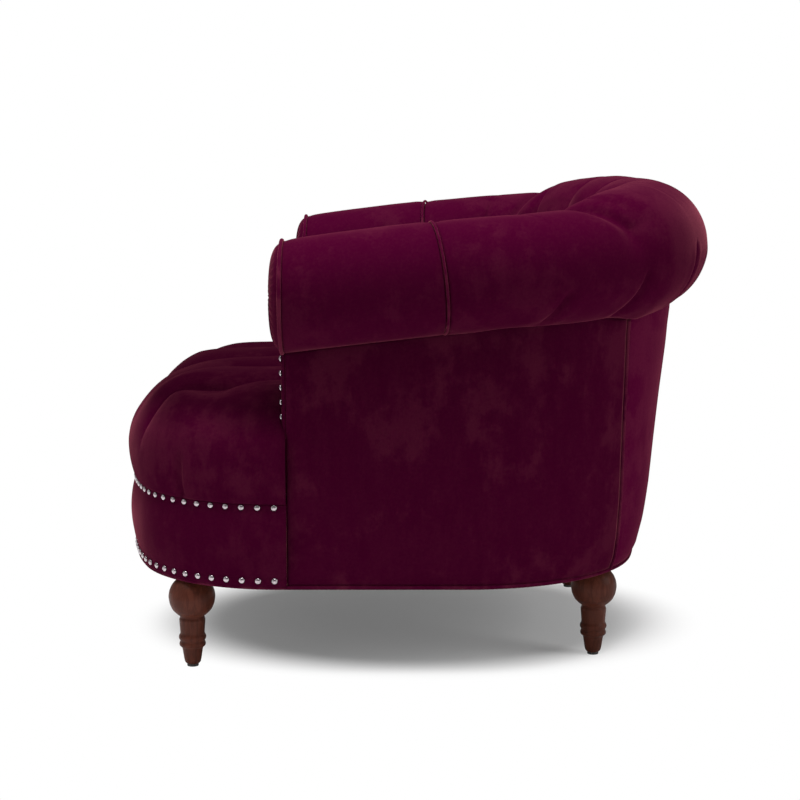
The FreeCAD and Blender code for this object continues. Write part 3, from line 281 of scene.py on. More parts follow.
def smoothed(curve, rounds, first=0, last=None):
    """A run of points with its kinks relaxed between two indices."""
    curve = curve.copy()
    last = len(curve) - 1 if last is None else last
    for _ in range(rounds):
        near = curve[first:last - 1] + 2 * curve[first + 1:last] + curve[first + 2:last + 1]
        curve[first + 1:last] = near / 4
    return curve


def even(curve, count):
    """The same curve with count points at even distances."""
    steps = np.linalg.norm(np.diff(curve, axis=0), axis=1)
    length = np.concatenate(([0.0], np.cumsum(steps)))
    marks = np.linspace(0.0, length[-1], count)
    return np.stack([np.interp(marks, length, curve[:, k]) for k in range(curve.shape[1])], 1)


def linked(name, mesh):
    """A new object of a mesh, at the origin of the scene."""
    obj = bpy.data.objects.new(name, mesh)
    bpy.context.scene.collection.objects.link(obj)
    return obj


def turned_outward(mesh, merge=False):
    """Turns a mesh's faces outward, with its doubled points joined first where merge is set."""
    bm = bmesh.new()
    bm.from_mesh(mesh)
    if merge:
        bmesh.ops.remove_doubles(bm, verts=bm.verts, dist=1e-6)
    bmesh.ops.recalc_face_normals(bm, faces=bm.faces)
    bm.to_mesh(mesh)
    bm.free()
    mesh.update()


def shaded_smooth(mesh):
    mesh.polygons.foreach_set("use_smooth", np.ones(len(mesh.polygons), bool))


def new_object(name, vertices, faces, uvs=None):
    """A smooth mesh object at the origin, with outward faces and a UV map in metres."""
    mesh = bpy.data.meshes.new(name)
    mesh.from_pydata([tuple(v) for v in vertices], [], faces)
    if uvs is not None:
        layer = mesh.uv_layers.new(name="Cloth")
        index = np.zeros(len(mesh.loops), np.int64)
        mesh.loops.foreach_get("vertex_index", index)
        layer.data.foreach_set("uv", np.asarray(uvs, np.float32)[index].ravel())
    turned_outward(mesh, merge=True)
    shaded_smooth(mesh)
    return linked(name, mesh)


def grid_faces(rows, columns, wrap_rows=False, wrap_columns=False, start=0):
    """Quads over a grid of vertices that are numbered row by row."""
    faces = []
    for i in range(rows if wrap_rows else rows - 1):
        low, high = start + i * columns, start + (i + 1) % rows * columns
        for j in range(columns if wrap_columns else columns - 1):
            k = (j + 1) % columns
            faces.append((low + j, low + k, high + k, high + j))
    return faces


def faces_between(line, other):
    """Quads between two lines of vertices."""
    pairs = list(zip(line, other))
    return [(a, b, d, c) for (a, c), (b, d) in zip(pairs, pairs[1:])]


def grid_uvs(grid):
    """UV coordinates of a grid from the lengths along its middle lines, in metres."""
    rows, columns = grid.shape[:2]
    across = np.linalg.norm(np.diff(grid[rows // 2], axis=0), axis=1)
    down = np.linalg.norm(np.diff(grid[:, columns // 2], axis=0), axis=1)
    u = np.concatenate(([0.0], np.cumsum(across)))
    v = np.concatenate(([0.0], np.cumsum(down)))
    return np.stack(np.meshgrid(u, v), 2).reshape(-1, 2)


def tube_object(name, grid, closed=False):
    """A closed solid from sections: rows run round each section and columns along the piece."""
    rows, columns = grid.shape[:2]
    faces = grid_faces(rows, columns, wrap_rows=True, wrap_columns=closed)
    if not closed:
        faces.append([i * columns for i in range(rows)])
        faces.append([i * columns + columns - 1 for i in range(rows)][::-1])
    return new_object(name, grid.reshape(-1, 3), faces, grid_uvs(grid))


def mirrored_object(obj, name):
    """The sitter's right-hand twin of a finished piece."""
    mesh = obj.data.copy()
    mesh.name = name
    mesh.transform(Matrix.Diagonal((-1.0, 1.0, 1.0, 1.0)))
    turned_outward(mesh)
    return linked(name, mesh)


def place_piece(obj, material, slot, *nodes):
    """Gives a finished piece its material, hangs it under the root and hides the frame's parts that it
    replaces.
    """
    obj.data.materials.clear()
    obj.data.materials.append(material)
    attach(obj, "root")
    if nodes:
        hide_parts(*nodes)
    return obj


def cloth_noise(points, scale, seed):
    """A smooth random value from -1 to 1 at each point."""
    shift = Vector((seed * 7.1, seed * 3.7, seed * 5.3))
    flat = points.reshape(-1, 3)
    values = [noise.noise(Vector(p) * scale + shift) for p in flat]
    return np.array(values).reshape(points.shape[:-1])


# Node groups and materials


def add(tree, kind, inputs=None, **settings):
    """A node with its settings, and with inputs fed by name or number: see feed."""
    made = tree.nodes.new(kind)
    for key, value in settings.items():
        setattr(made, key, value)
    return feed(tree, made, inputs or {})


def feed(tree, made, inputs):
    """Gives each input of a node a value, or links another node's output to it."""
    for key, value in inputs.items():
        if isinstance(value, bpy.types.NodeSocket):
            tree.links.new(value, made.inputs[key])
        else:
            made.inputs[key].default_value = value
    return made


def math_node(tree, operation, *values):
    return add(tree, "ShaderNodeMath", dict(enumerate(values)), operation=operation).outputs[0]


def weighted(tree, *terms):
    """The sum of values, each times its share."""
    parts = [math_node(tree, "MULTIPLY", value, share) for value, share in terms]
    total = parts[0]
    for part in parts[1:]:
        total = math_node(tree, "ADD", total, part)
    return total


def noise_node(tree, vector, scale, detail, rough):
    inputs = {"Vector": vector, "Scale": scale, "Detail": detail, "Roughness": rough}
    return add(tree, "ShaderNodeTexNoise", inputs).outputs["Fac"]


def scaled(tree, place, scale):
    """Coordinates stretched along each axis."""
    return add(tree, "ShaderNodeMapping", {"Vector": place, "Scale": scale}).outputs[0]


def mix_colour(tree, factor, a, b):
    """A blend of two colours; sockets 0, 6 and 7 are the factor and the colours."""
    inputs = {0: factor, 6: a, 7: b}
    return add(tree, "ShaderNodeMix", inputs, data_type="RGBA").outputs[2]


def mix_value(tree, factor, a, b):
    """A blend of two numbers; sockets 0, 2 and 3 are the factor and the numbers."""
    inputs = {0: factor, 2: a, 3: b}
    return add(tree, "ShaderNodeMix", inputs, data_type="FLOAT").outputs[0]


def stretch(tree, value, low, high, to_low=0.0, to_high=1.0, **settings):
    """Maps a value's range onto another, clamped."""
    inputs = dict(enumerate((value, low, high, to_low, to_high)))
    return add(tree, "ShaderNodeMapRange", inputs, **settings).outputs[0]


def node_group(name, inputs):
    """A shader group with one socket for each default given: its tree, inputs and coordinates."""
    tree = bpy.data.node_groups.new(name, "ShaderNodeTree")
    for label, default in inputs.items():
        kind = "NodeSocketColor" if isinstance(default, tuple) else "NodeSocketFloat"
        socket = tree.interface.new_socket(label, in_out="INPUT", socket_type=kind)
        socket.default_value = default
    for label, kind in (("Colour", "Color"), ("Roughness", "Float"), ("Height", "Float")):
        tree.interface.new_socket(label, in_out="OUTPUT", socket_type="NodeSocket" + kind)
    place = add(tree, "ShaderNodeTexCoord").outputs["Object"]
    return tree, tree.nodes.new("NodeGroupInput").outputs, place


def finish_group(tree, colour, roughness, height):
    add(tree, "NodeGroupOutput", {"Colour": colour, "Roughness": roughness, "Height": height})
    return tree


def nap_group():
    """Pile of a velvet: brushed patches and fine fuzz, with painted shade above a height."""
    tree, given, place = node_group(
        "Velvet pile",
        {
            "Pile": (0.1, 0.005, 0.02, 1),
            "Brushed": (0.2, 0.02, 0.05, 1),
            "Patch size": 6.0,
            "Patch strength": 0.5,
            "Shaded above": NO_SHADE,
            "Shade": 0.42,
        },
    )
    broad = noise_node(tree, place, given["Patch size"], 9.0, 0.70)
    strokes = noise_node(tree, scaled(tree, place, (14.0, 14.0, 5.0)), 3.0, 5.0, 0.65)
    fuzz = noise_node(tree, place, 900.0, 2.0, 0.6)
    speck = noise_node(tree, place, 260.0, 2.0, 0.7)
    patch = stretch(tree, weighted(tree, (broad, 1.0), (strokes, 0.22)), 0.60, 0.68)
    stroke = stretch(tree, strokes, 0.35, 0.70)
    amount = weighted(tree, (patch, 0.65), (stroke, 0.35))
    amount = math_node(tree, "MULTIPLY", amount, given["Patch strength"])
    amount = math_node(tree, "ADD", amount, stretch(tree, speck, 0.3, 0.7, -0.10, 0.10))
    colour = mix_colour(tree, amount, given["Pile"], given["Brushed"])
    # Painted shade: above the given height the colour is scaled down by Shade
    level = add(tree, "ShaderNodeSeparateXYZ", {0: place}).outputs[2]
    above = math_node(tree, "SUBTRACT", level, given["Shaded above"])
    inputs = {0: colour, "Scale": given["Shade"]}
    deep = add(tree, "ShaderNodeVectorMath", inputs, operation="SCALE").outputs[0]
    colour = mix_colour(tree, stretch(tree, above, 0.0, 0.045), colour, deep)
    rough = stretch(tree, strokes, 0.3, 0.7, 0.55, 0.72)
    return finish_group(tree, colour, rough, weighted(tree, (fuzz, 0.5), (speck, 0.8)))


def weave_group():
    """Plain weave: threads over and under, with slubs."""
    tree, given, place = node_group(
        "Plain weave",
        {
            "Thread": (0.7, 0.66, 0.56, 1),
            "Gap": (0.4, 0.36, 0.3, 1),
            "Threads per metre": 700.0,
        },
    )
    axes = add(tree, "ShaderNodeSeparateXYZ", {0: place}).outputs
    waves = []
    for axis in (0, 1):
        angle = math_node(tree, "MULTIPLY", axes[axis], given["Threads per metre"])
        waves.append(math_node(tree, "SINE", math_node(tree, "MULTIPLY", angle, math.pi)))
    slub = noise_node(tree, place, 60.0, 3.0, 0.6)
    lift = stretch(tree, math_node(tree, "MULTIPLY", *waves), -1.0, 1.0)
    mixed = weighted(tree, (lift, 0.75), (slub, 0.4))
    colour = mix_colour(tree, mixed, given["Gap"], given["Thread"])
    return finish_group(tree, colour, stretch(tree, slub, 0.3, 0.7, 0.75, 0.92), mixed)


def grain_group():
    """Wood grain along Z: broad figure, fine pores and blotches of stain."""
    tree, given, place = node_group(
        "Wood grain",
        {
            "Early wood": (0.3, 0.1, 0.05, 1),
            "Late wood": (0.12, 0.035, 0.02, 1),
            "Figure": 22.0,
            "Gloss low": 0.28,
            "Gloss high": 0.45,
        },
    )
    along = scaled(tree, place, (1.0, 1.0, 0.09))
    figure = noise_node(tree, along, given["Figure"], 5.0, 0.6)
    rings = math_node(tree, "SINE", math_node(tree, "MULTIPLY", figure, 46.0))
    pores = noise_node(tree, along, 900.0, 2.0, 0.7)
    blotch = noise_node(tree, place, 18.0, 3.0, 0.5)
    amount = weighted(
        tree,
        (stretch(tree, rings, -1.0, 1.0), 0.45),
        (stretch(tree, blotch, 0.3, 0.7), 0.35),
        (stretch(tree, pores, 0.45, 0.75), 0.3),
    )
    colour = mix_colour(tree, amount, given["Early wood"], given["Late wood"])
    rough = mix_value(tree, blotch, given["Gloss low"], given["Gloss high"])
    return finish_group(tree, colour, rough, math_node(tree, "MULTIPLY", pores, -1.0))


def speckle_group():
    """Small cell or hammer marks for foam, plastic and plated heads."""
    tree, given, place = node_group(
        "Speckle",
        {
            "Ground": (0.5, 0.5, 0.5, 1),
            "Spot": (0.3, 0.3, 0.3, 1),
            "Spots per metre": 300.0,
            "Rough low": 0.3,
            "Rough high": 0.6,
        },
    )
    spots = noise_node(tree, place, given["Spots per metre"], 3.0, 0.6)
    cloud = noise_node(tree, place, 35.0, 3.0, 0.5)
    patches = stretch(tree, cloud, 0.25, 0.7, 0.4, 1.0)
    amount = math_node(tree, "MULTIPLY", stretch(tree, spots, 0.42, 0.62), patches)
    colour = mix_colour(tree, amount, given["Ground"], given["Spot"])
    rough = mix_value(tree, amount, given["Rough low"], given["Rough high"])
    return finish_group(tree, colour, rough, spots)


GROUP_MAKERS = {
    "Velvet pile": nap_group,
    "Plain weave": weave_group,
    "Wood grain": grain_group,
    "Speckle": speckle_group,
}


def material(name, group, values, bump=0.2, bump_distance=0.0004, shader=None):
    """A Principled material whose colour, roughness and bump come from a shared group."""
    found = bpy.data.materials.get(name)
    if found:
        return found
    made = bpy.data.materials.new(name)
    made.use_nodes = True
    tree = made.node_tree
    shared = bpy.data.node_groups.get(group) or GROUP_MAKERS[group]()
    effect = add(tree, "ShaderNodeGroup", values, node_tree=shared).outputs
    inputs = {"Strength": bump, "Distance": bump_distance, "Height": effect["Height"]}
    relief = add(tree, "ShaderNodeBump", inputs).outputs["Normal"]
    inputs = {"Base Color": effect["Colour"], "Roughness": effect["Roughness"], "Normal": relief}
    feed(tree, tree.nodes["Principled BSDF"], inputs | (shader or {}))
    return made


def opaque(colour):
    return tuple(colour[:3]) + (1.0,)


def darker(colour, share):
    """The same hue with its strength scaled."""
    return opaque([c * share for c in colour[:3]])


# The velvet by place: strength of its colour, of its brushed patches and of its sheen; a colour strength
# above 1 is painted light
VELVETS = {
    "cover": (1.0, 0.26, 1.0),
    "outside": (1.0, 0.45, 1.0),
    # Painted light: the outside back is made lighter, as if lit from behind
    "rear": (1.6, 0.3, 1.0),
    # Partly painted highlight: the piping is made a little lighter; its stronger patches stand for rubbed
    # pile
    "piping": (1.15, 0.9, 1.3),
    "seat": (1.0, 0.4, 0.6),
}
# Height above which the seat's velvet is darkened with painted shade, and a height that no velvet reaches
SEAT_SHADE, NO_SHADE = 0.372, 9.0


def velvet(kind="cover"):
    """The velvet of the covers; the piping's is rubbed a little and lighter with a painted highlight, the
    outside's is stretched flat, the rear's is lighter with painted light and the seat's has painted shade
    on top.
    """
    look = bpy.context.scene.armchair_finish
    painted_brightening, patches, sheen = VELVETS[kind]
    return material(
        "Velvet " + kind,
        "Velvet pile",
        {
            "Pile": darker(look.velvet, painted_brightening),
            "Brushed": darker(look.velvet_brushed, painted_brightening),
            "Patch size": 7.0,
            "Patch strength": patches,
            "Shaded above": SEAT_SHADE if kind == "seat" else NO_SHADE,
        },
        bump=0.25,
        bump_distance=0.0006,
        shader={
            "Sheen Weight": look.velvet_sheen * sheen,
            "Sheen Roughness": 0.30,
            "Sheen Tint": opaque(look.velvet_sheen_tint),
            "Specular IOR Level": 0.0,
        },
    )


def turned_wood():
    colour = opaque(bpy.context.scene.armchair_finish.wood)
    grain = {"Early wood": colour, "Late wood": darker(colour, 0.45), "Figure": 30.0}
    gloss = {"Gloss low": 0.36, "Gloss high": 0.55}
    shader = {"Coat Weight": 0.03, "Coat Roughness": 0.18, "Specular IOR Level": 0.07}
    return material("Stained hardwood", "Wood grain", grain | gloss, bump=0.12, shader=shader)


def nail_metal():
    colour = opaque(bpy.context.scene.armchair_finish.nails)
    marks = {"Ground": colour, "Spot": darker(colour, 0.55), "Spots per metre": 420.0}
    gloss = {"Rough low": 0.12, "Rough high": 0.26}
    shader = {"Metallic": 1.0}
    return material("Nickelled heads", "Speckle", marks | gloss, bump=0.08, shader=shader)


# Finishes with no setting of their own: group, bump, two colours, and the group's other values
FINISHES = {
    "Planed frame wood": (
        "Wood grain",
        0.3,
        {"Early wood": (0.56, 0.38, 0.21, 1), "Late wood": (0.36, 0.21, 0.10, 1)},
        {"Figure": 9.0, "Gloss low": 0.6, "Gloss high": 0.8},
    ),
    "Jute strap": (
        "Plain weave",
        0.8,
        {"Thread": (0.36, 0.26, 0.13, 1), "Gap": (0.12, 0.08, 0.04, 1)},
        {"Threads per metre": 380.0},
    ),
    "Deck cotton": (
        "Plain weave",
        0.6,
        {"Thread": (0.62, 0.57, 0.46, 1), "Gap": (0.38, 0.34, 0.27, 1)},
        {"Threads per metre": 800.0},
    ),
    "Bottom cloth": (
        "Plain weave",
        0.6,
        {"Thread": (0.012, 0.012, 0.013, 1), "Gap": (0.004, 0.004, 0.004, 1)},
        {"Threads per metre": 600.0},
    ),
    "Cushion foam": (
        "Speckle",
        0.7,
        {"Ground": (0.74, 0.68, 0.45, 1), "Spot": (0.55, 0.48, 0.28, 1)},
        {"Rough low": 0.85, "Rough high": 0.95},
    ),
    "Moulded glide": (
        "Speckle",
        0.2,
        {"Ground": (0.022, 0.021, 0.021, 1), "Spot": (0.05, 0.048, 0.046, 1)},
        {"Rough low": 0.5},
    ),
    "Pale floor": (
        "Speckle",
        0.0,
        {"Ground": (0.93, 0.93, 0.93, 1), "Spot": (0.90, 0.90, 0.90, 1)},
        {"Rough low": 0.8, "Rough high": 0.9},
    ),
}


def plain_finish(name):
    group, bump, colours, others = FINISHES[name]
    return material(name, group, colours | others, bump)


# Covers

BACK_PAD_STEPS, BACK_ROLL_STEPS = 84, 104
ARM_PAD_STEPS, ARM_ROLL_STEPS = 72, 96
HIDDEN_PAD_STEPS, HIDDEN_STEPS = 7, 12
ARM_ANGLES = np.linspace(math.pi, -math.pi * 0.44, ARM_ROLL_STEPS)
FOLD_SHARE, LOW_FOLD_SHARE, ARM_TUFT_SHARE = 0.62, 0.45, 0.8
TUFT_PITCH, BACK_ROW_HEIGHT, ARM_ROW_HEIGHT = 0.08, 0.11, 0.09
TOP_TUFT_DROP = 0.030
SLANT_FROM, SLANT_TO = -64.0, 90.0


def tuft_sink(c, q, pitch, row_height, pleat, depth):
    """How far a tufted cover is drawn in.

    c counts buttons across and q rows of diamonds up, with buttons at whole c on q = 0 and 1
    and at half c on q = 0.5. Above and below them straight folds run on, pleat deep.
    """
    inside = np.clip(q, 0.0, 1.0)
    puff = np.abs(np.sin(np.pi * (c + inside)) * np.sin(np.pi * (c - inside)))
    beyond = np.clip(np.maximum(-q, q - 1.0) / 0.5, 0.0, 1.0)
    crease = 1 - puff ** (0.42 - 0.20 * beyond)
    sink = crease * np.where((q < 0) | (q > 1.0), pleat, FOLD_SHARE * depth)
    for row in (0.0, 0.5, 1.0):
        shift = 0.5 if row == 0.5 else 0.0
        across = (c - shift - np.round(c - shift)) * pitch
        sink += 0.42 * depth * hump(np.hypot(across, (q - row) * row_height), 0.013)
    return sink - 0.16 * depth * puff * hump(beyond, 0.5)


def pad_levels(top, steps):
    """Heights of an inside cover's points, few where the seat hides them."""
    seen = SEAT_CROWN - 0.03
    hidden = np.linspace(PAD_BOTTOM, seen, HIDDEN_PAD_STEPS, endpoint=False)
    return np.concatenate((hidden, np.linspace(seen, top, steps - HIDDEN_PAD_STEPS)))


def tuft_height(row, roll_height):
    """Height of a row of buttons, counted in half diamonds up from the lowest."""
    rise = roll_height - TOP_TUFT_DROP - LOWEST_TUFT
    return LOWEST_TUFT + TUFT_ROW_SHARE * row * rise


def row_share(z, roll_height):
    """Rows of diamonds above the lowest buttons at a height."""
    return (z - LOWEST_TUFT) / (tuft_height(4, roll_height) - LOWEST_TUFT)


def closing_path(bottom, out, low_outer, low_inner):
    """The hidden way back from a roll's outer edge under it, behind the pad and down."""
    behind = bottom + out * PAD_THICKNESS
    corners = [low_outer, low_inner, behind + (0, 0, 0.5 - PAD_BOTTOM), behind, bottom]
    return even(np.array(corners), HIDDEN_STEPS + 2)[1:-1]


def roll_point(s, angle, side, turn, hollow=0.0):
    """A point of the back roll's surface, angle up from its outer side."""
    centre, out = roll_place(s)
    radius, z = roll_size(s, turn, hollow)
    point = centre + out * radius * math.cos(angle)
    return np.array((side * point[0], point[1], z + radius * math.sin(angle)))


def back_column(c, hollow):
    """One column of the back cover: up its face, over the roll, and back behind."""
    side = 1 if c >= 0 else -1
    places = (PLEAT_OUTER, PLEAT_INNER, PLEAT_SLANT)
    outer, inner, slant = (np.interp(abs(c), PLEAT_COLUMNS, place) for place in places)
    u = 0.5 - c / BACK_COLUMNS
    radius, height = roll_size(inner, 180.0)
    slope = math.atan(INSIDE_LEAN * abs(inside_place(u, height)[1][1]))
    levels = pad_levels(height + radius * math.sin(slope), BACK_PAD_STEPS)
    angles = np.linspace(math.pi - slope, -math.asin(seat_share(outer)), BACK_ROLL_STEPS)
    face = [inside_place(u, z)[0] for z in levels]
    for angle in angles:
        turn = math.degrees(angle)
        s = outer + (inner - outer) * float(ease(angle / math.pi))
        share = (turn - SLANT_FROM) / (SLANT_TO - SLANT_FROM)
        if 0 < share < 1:
            s += slant * math.sin(math.pi * share)
        face.append(roll_point(s, angle, side, turn, hollow))
    face = smoothed(np.array(face), 60, BACK_PAD_STEPS - 12, BACK_PAD_STEPS + 10)
    low_inner = roll_point(inner, math.pi + math.asin(ROLL_SEAT_SHARE), side, 180.0)
    behind = closing_path(*inside_place(u, PAD_BOTTOM), face[-1], low_inner)
    return np.concatenate((face, behind)), row_share(levels, height), angles


def back_sinks(columns, q, angles, sizes):
    """How far the back cover is drawn in at each point of its face."""
    c = columns[None, :]
    depth = sizes.tuft_depth
    pleat = np.where(q < 0, LOW_FOLD_SHARE, FOLD_SHARE) * depth
    pad = tuft_sink(c, q, TUFT_PITCH, BACK_ROW_HEIGHT, pleat, depth)
    turn = np.degrees(angles)
    over = 0.09 * ease((turn - 30.0) / 40.0) + 0.91 * ease((turn - 80.0) / 90.0)
    puff = np.sin(np.pi * c) ** 2
    sharpness = 0.22 - 0.10 * ease((120.0 - turn) / 60.0)
    roll = (1 - puff**sharpness) * FOLD_SHARE * depth * over
    away = np.abs(c - np.round(c)) * 0.105
    start = np.interp(np.abs(c), PLEAT_COLUMNS, PLEAT_LOW_START)
    under = sizes.pleat_depth * ease((start - turn) / 14.0)
    roll += under * (np.exp(-away / 0.0042) - 0.25 * hump(away - 0.014, 0.009))
    bulge = 0.003 * puff * ease((turn - 100.0) / 50.0) * ease((turn[:1] - turn) / 30.0)
    return np.concatenate((pad, roll - bulge))


def slanted(points):
    """Shifts the covers beside the middle piping, which bows to the rear on the outside."""
    points = np.array(points, float)
    side = np.sign(points[..., 0])
    x = np.abs(points[..., 0]) - ARM_X
    z = points[..., 2] - (ARM_FRONT_HEIGHT + ARM_RISE)
    reach = np.hypot(x, z)
    shift = (0.0115 * x - 0.0095 * z) / np.maximum(reach, 0.02)
    near = ease((0.13 - np.abs(points[..., 1] - MIDDLE_SEAM_Y)) / 0.12)
    near = near * ease((0.125 - reach) / 0.03) * (side != 0)
    points[..., 1] += shift * near
    return points


def seam_dip(distance, depth=0.0016, reach=0.009):
    """How far a cover is drawn in beside a seam."""
    return depth * hump(distance, reach)


def cover_object(name, grid, sink, ends, hold, extra):
    """A closed cover, drawn in by sink and extra on its face.

    ends is each column's distance from a seam, and hold is the share of the sink that is
    held back there and how far from the seam.
    """
    fade = np.ones((len(sink), 1))
    fade[:6] = 0.0
    fade[-6:, 0] = np.linspace(1.0, 0.0, 6)
    share, reach = hold
    sink = fade * (sink * (1 - share * hump(ends, reach)) + seam_dip(ends) + extra)
    highest = np.unravel_index(np.argmax(grid[..., 2]), grid.shape[:2])
    normals = grid_normals(grid, highest, UP, wrap_rows=True)
    face = grid[:len(sink)] - normals[:len(sink)] * sink[..., None]
    return tube_object(name, slanted(np.concatenate((face, grid[len(sink):]))))


def arm_pad_y(share):
    """Depth at a share of the way back along an arm's inside pad."""
    front = ARM_FRONT_Y + SEAM_GAP
    return front + (PAD_END_Y - 0.001 - front) * share


def arm_column(share):
    """One column of an arm's cover: up its inside face, round the roll and back behind."""
    y_pad = arm_pad_y(share)
    y_roll = ARM_FRONT_Y + ARM_SECTION * share
    height = arm_height(y_roll)
    levels = pad_levels(height, ARM_PAD_STEPS)
    face = [(INSIDE_X, y_pad, z) for z in levels]
    for angle in ARM_ANGLES:
        x = ARM_X + ARM_RADIUS * math.cos(angle)
        face.append((x, y_roll, height + ARM_RADIUS * math.sin(angle)))
    face = np.array(face)
    first = ARM_PAD_STEPS - 10
    face[first:first + 20, 1] = y_pad + (y_roll - y_pad) * ease(np.linspace(0, 1, 20))
    face = smoothed(face, 40, ARM_PAD_STEPS - 12, ARM_PAD_STEPS + 10)
    low_inner = np.array((ARM_X - ARM_RADIUS * 0.5, y_roll, height - ARM_RADIUS * 0.86))
    bottom = np.array((INSIDE_X, y_pad, PAD_BOTTOM))
    behind = closing_path(bottom, np.array((1.0, 0.0, 0.0)), face[-1], low_inner)
    return np.concatenate((face, behind)), row_share(levels, height)


# Settings


class ArmchairCovers(bpy.types.PropertyGroup):
    tuft_depth: FloatProperty(
        name="Tuft depth",
        description="Depth of a button below the puffs of the inside back and arms",
        default=0.020, min=0.005, max=0.03, unit="LENGTH",
    )
    seat_tuft_depth: FloatProperty(
        name="Seat tuft depth",
        description="Depth of a button below the puffs of the seat",
        default=0.030, min=0.005, max=0.034, unit="LENGTH",
    )
    pleat_depth: FloatProperty(
        name="Roll pleat depth",
        description="Depth of the pleats under the outside of the back roll",
        default=0.006, min=0.0, max=0.012, unit="LENGTH",
    )
    nose_depth: FloatProperty(
        name="Nose depth",
        description="Depth of the hollow between each arm's roll and the fuller back roll",
        default=0.009, min=0.0, max=0.02, unit="LENGTH",
    )
    softness: FloatProperty(
        name="Softness",
        description="Height of the slow waves in the stretched covers",
        default=0.0016, min=0.0, max=0.004, unit="LENGTH",
    )
    button_diameter: FloatProperty(
        name="Button diameter",
        description="Diameter of the covered buttons",
        default=0.020, min=0.012, max=0.028, unit="LENGTH",
    )


class ArmchairTrim(bpy.types.PropertyGroup):
    piping_diameter: FloatProperty(
        name="Piping diameter",
        description="Thickness of the covered cord in the seams",
        default=0.006, min=0.003, max=0.008, unit="LENGTH",
    )
    nail_diameter: FloatProperty(
        name="Nail diameter",
        description="Diameter of the decorative nail heads",
        default=0.010, min=0.006, max=0.011, unit="LENGTH",
    )
    nail_pitch: FloatProperty(
        name="Nail pitch",
        description="Distance between nail heads on the front band",
        default=0.025, min=0.014, max=0.05, unit="LENGTH",
    )
    facing_pleats: IntProperty(
        name="Facing pleats",
        description="Pleats gathered into the round facing of each arm",
        default=36, min=12, max=60,
    )
    facing_bulge: FloatProperty(
        name="Facing bulge",
        description="How far the round facings stand out",
        default=0.0225, min=0.004, max=0.026, unit="LENGTH",
    )


class ArmchairFinish(bpy.types.PropertyGroup):
    velvet: FloatVectorProperty(
        name="Velvet",
        description="Colour of the velvet's pile seen straight on",
        subtype="COLOR", size=3, min=0.0, max=1.0, default=(0.0300, 0.0004, 0.0098),
    )
    velvet_brushed: FloatVectorProperty(
        name="Brushed velvet",
        description="Colour of the pile where it's brushed the other way",
        subtype="COLOR", size=3, min=0.0, max=1.0, default=(0.062, 0.0080, 0.0190),
    )
    velvet_sheen: FloatProperty(
        name="Velvet sheen",
        description="Strength of the soft light along the edges of the pile",
        subtype="FACTOR", default=0.17, min=0.0, max=1.0,
    )
    velvet_sheen_tint: FloatVectorProperty(
        name="Sheen tint",
        description="Colour of the velvet's sheen",
        subtype="COLOR", size=3, min=0.0, max=1.0, default=(1.0, 0.25, 0.32),
    )
    wood: FloatVectorProperty(
        name="Leg wood",
        description="Colour of the stained legs",
        subtype="COLOR", size=3, min=0.0, max=1.0, default=(0.082, 0.0215, 0.0125),
    )
    nails: FloatVectorProperty(
        name="Nail heads",
        description="Colour of the plated nail heads",
        subtype="COLOR", size=3, min=0.0, max=1.0, default=(0.40, 0.35, 0.37),
    )


# Back and arms


class ARMCHAIR_OT_back_cover(bpy.types.Operator):
    """Inside back and back roll in one piece, with its tufts and pleats"""

    bl_idname = "armchair.back_cover"
    bl_label = "Back cover"

    def execute(self, context):
        sizes = context.scene.armchair_covers
        half = BACK_COLUMNS / 2
        columns = np.linspace(-half, half, BACK_COLUMNS * 36 + 1)
        made = [back_column(c, sizes.nose_depth) for c in columns]
        sections, q, angles = (np.array(parts) for parts in zip(*made))
        grid = grid_of(sections)
        sink = back_sinks(columns, q.T, angles.T, sizes)
        ends = (half - np.abs(columns)) * 0.09
        waves = cloth_noise(grid[:len(sink)], 9.0, 1) * sizes.softness * 0.8
        extra = waves * ease(ends / 0.03)
        cover = cover_object("back_cover", grid, sink, ends, (0.75, 0.02), extra)
        place_piece(cover, velvet(), "velvet", "inside_back", "back_roll")
        return {"FINISHED"}


class ARMCHAIR_OT_arm_covers(bpy.types.Operator):
    """Inside arm and front length of the roll, one piece on each side"""

    bl_idname = "armchair.arm_covers"
    bl_label = "Arm covers"

    def execute(self, context):
        sizes = context.scene.armchair_covers
        depth = sizes.tuft_depth * ARM_TUFT_SHARE
        shares = np.linspace(0.0, 1.0, ARM_COLUMNS * 28 + 1)
        sections, q = (np.array(parts) for parts in zip(*map(arm_column, shares)))
        grid = grid_of(sections)
        c = shares[None, :] * ARM_COLUMNS
        pleat = np.where(q.T < 0, LOW_FOLD_SHARE, FOLD_SHARE) * depth
        pad = tuft_sink(c, q.T, TUFT_PITCH, ARM_ROW_HEIGHT, pleat, depth)
        turn = np.degrees(ARM_ANGLES)[:, None]
        crease = 1 - (np.sin(np.pi * c) ** 2) ** 0.2
        roll = crease * 0.5 * sizes.tuft_depth * ease((turn - 128.0) / 45.0)
        sink = np.concatenate((pad, roll))
        ends = np.minimum(shares, 1 - shares) * ARM_SECTION
        extra = cloth_noise(grid[:len(sink)], 8.0, 2) * sizes.softness * ease(ends / 0.03)
        extra[ARM_PAD_STEPS:] -= 0.0022 * np.sin(np.pi * shares) * ease((150 - turn) / 60)
        left = cover_object("arm_cover_left", grid, sink, ends, (0.9, 0.018), extra)
        right = mirrored_object(left, "arm_cover_right")
        for cover, side in ((left, "left"), (right, "right")):
            place_piece(cover, velvet(), "velvet", "inside_arm_" + side, "arm_roll_" + side)
        return {"FINISHED"}


# Seat

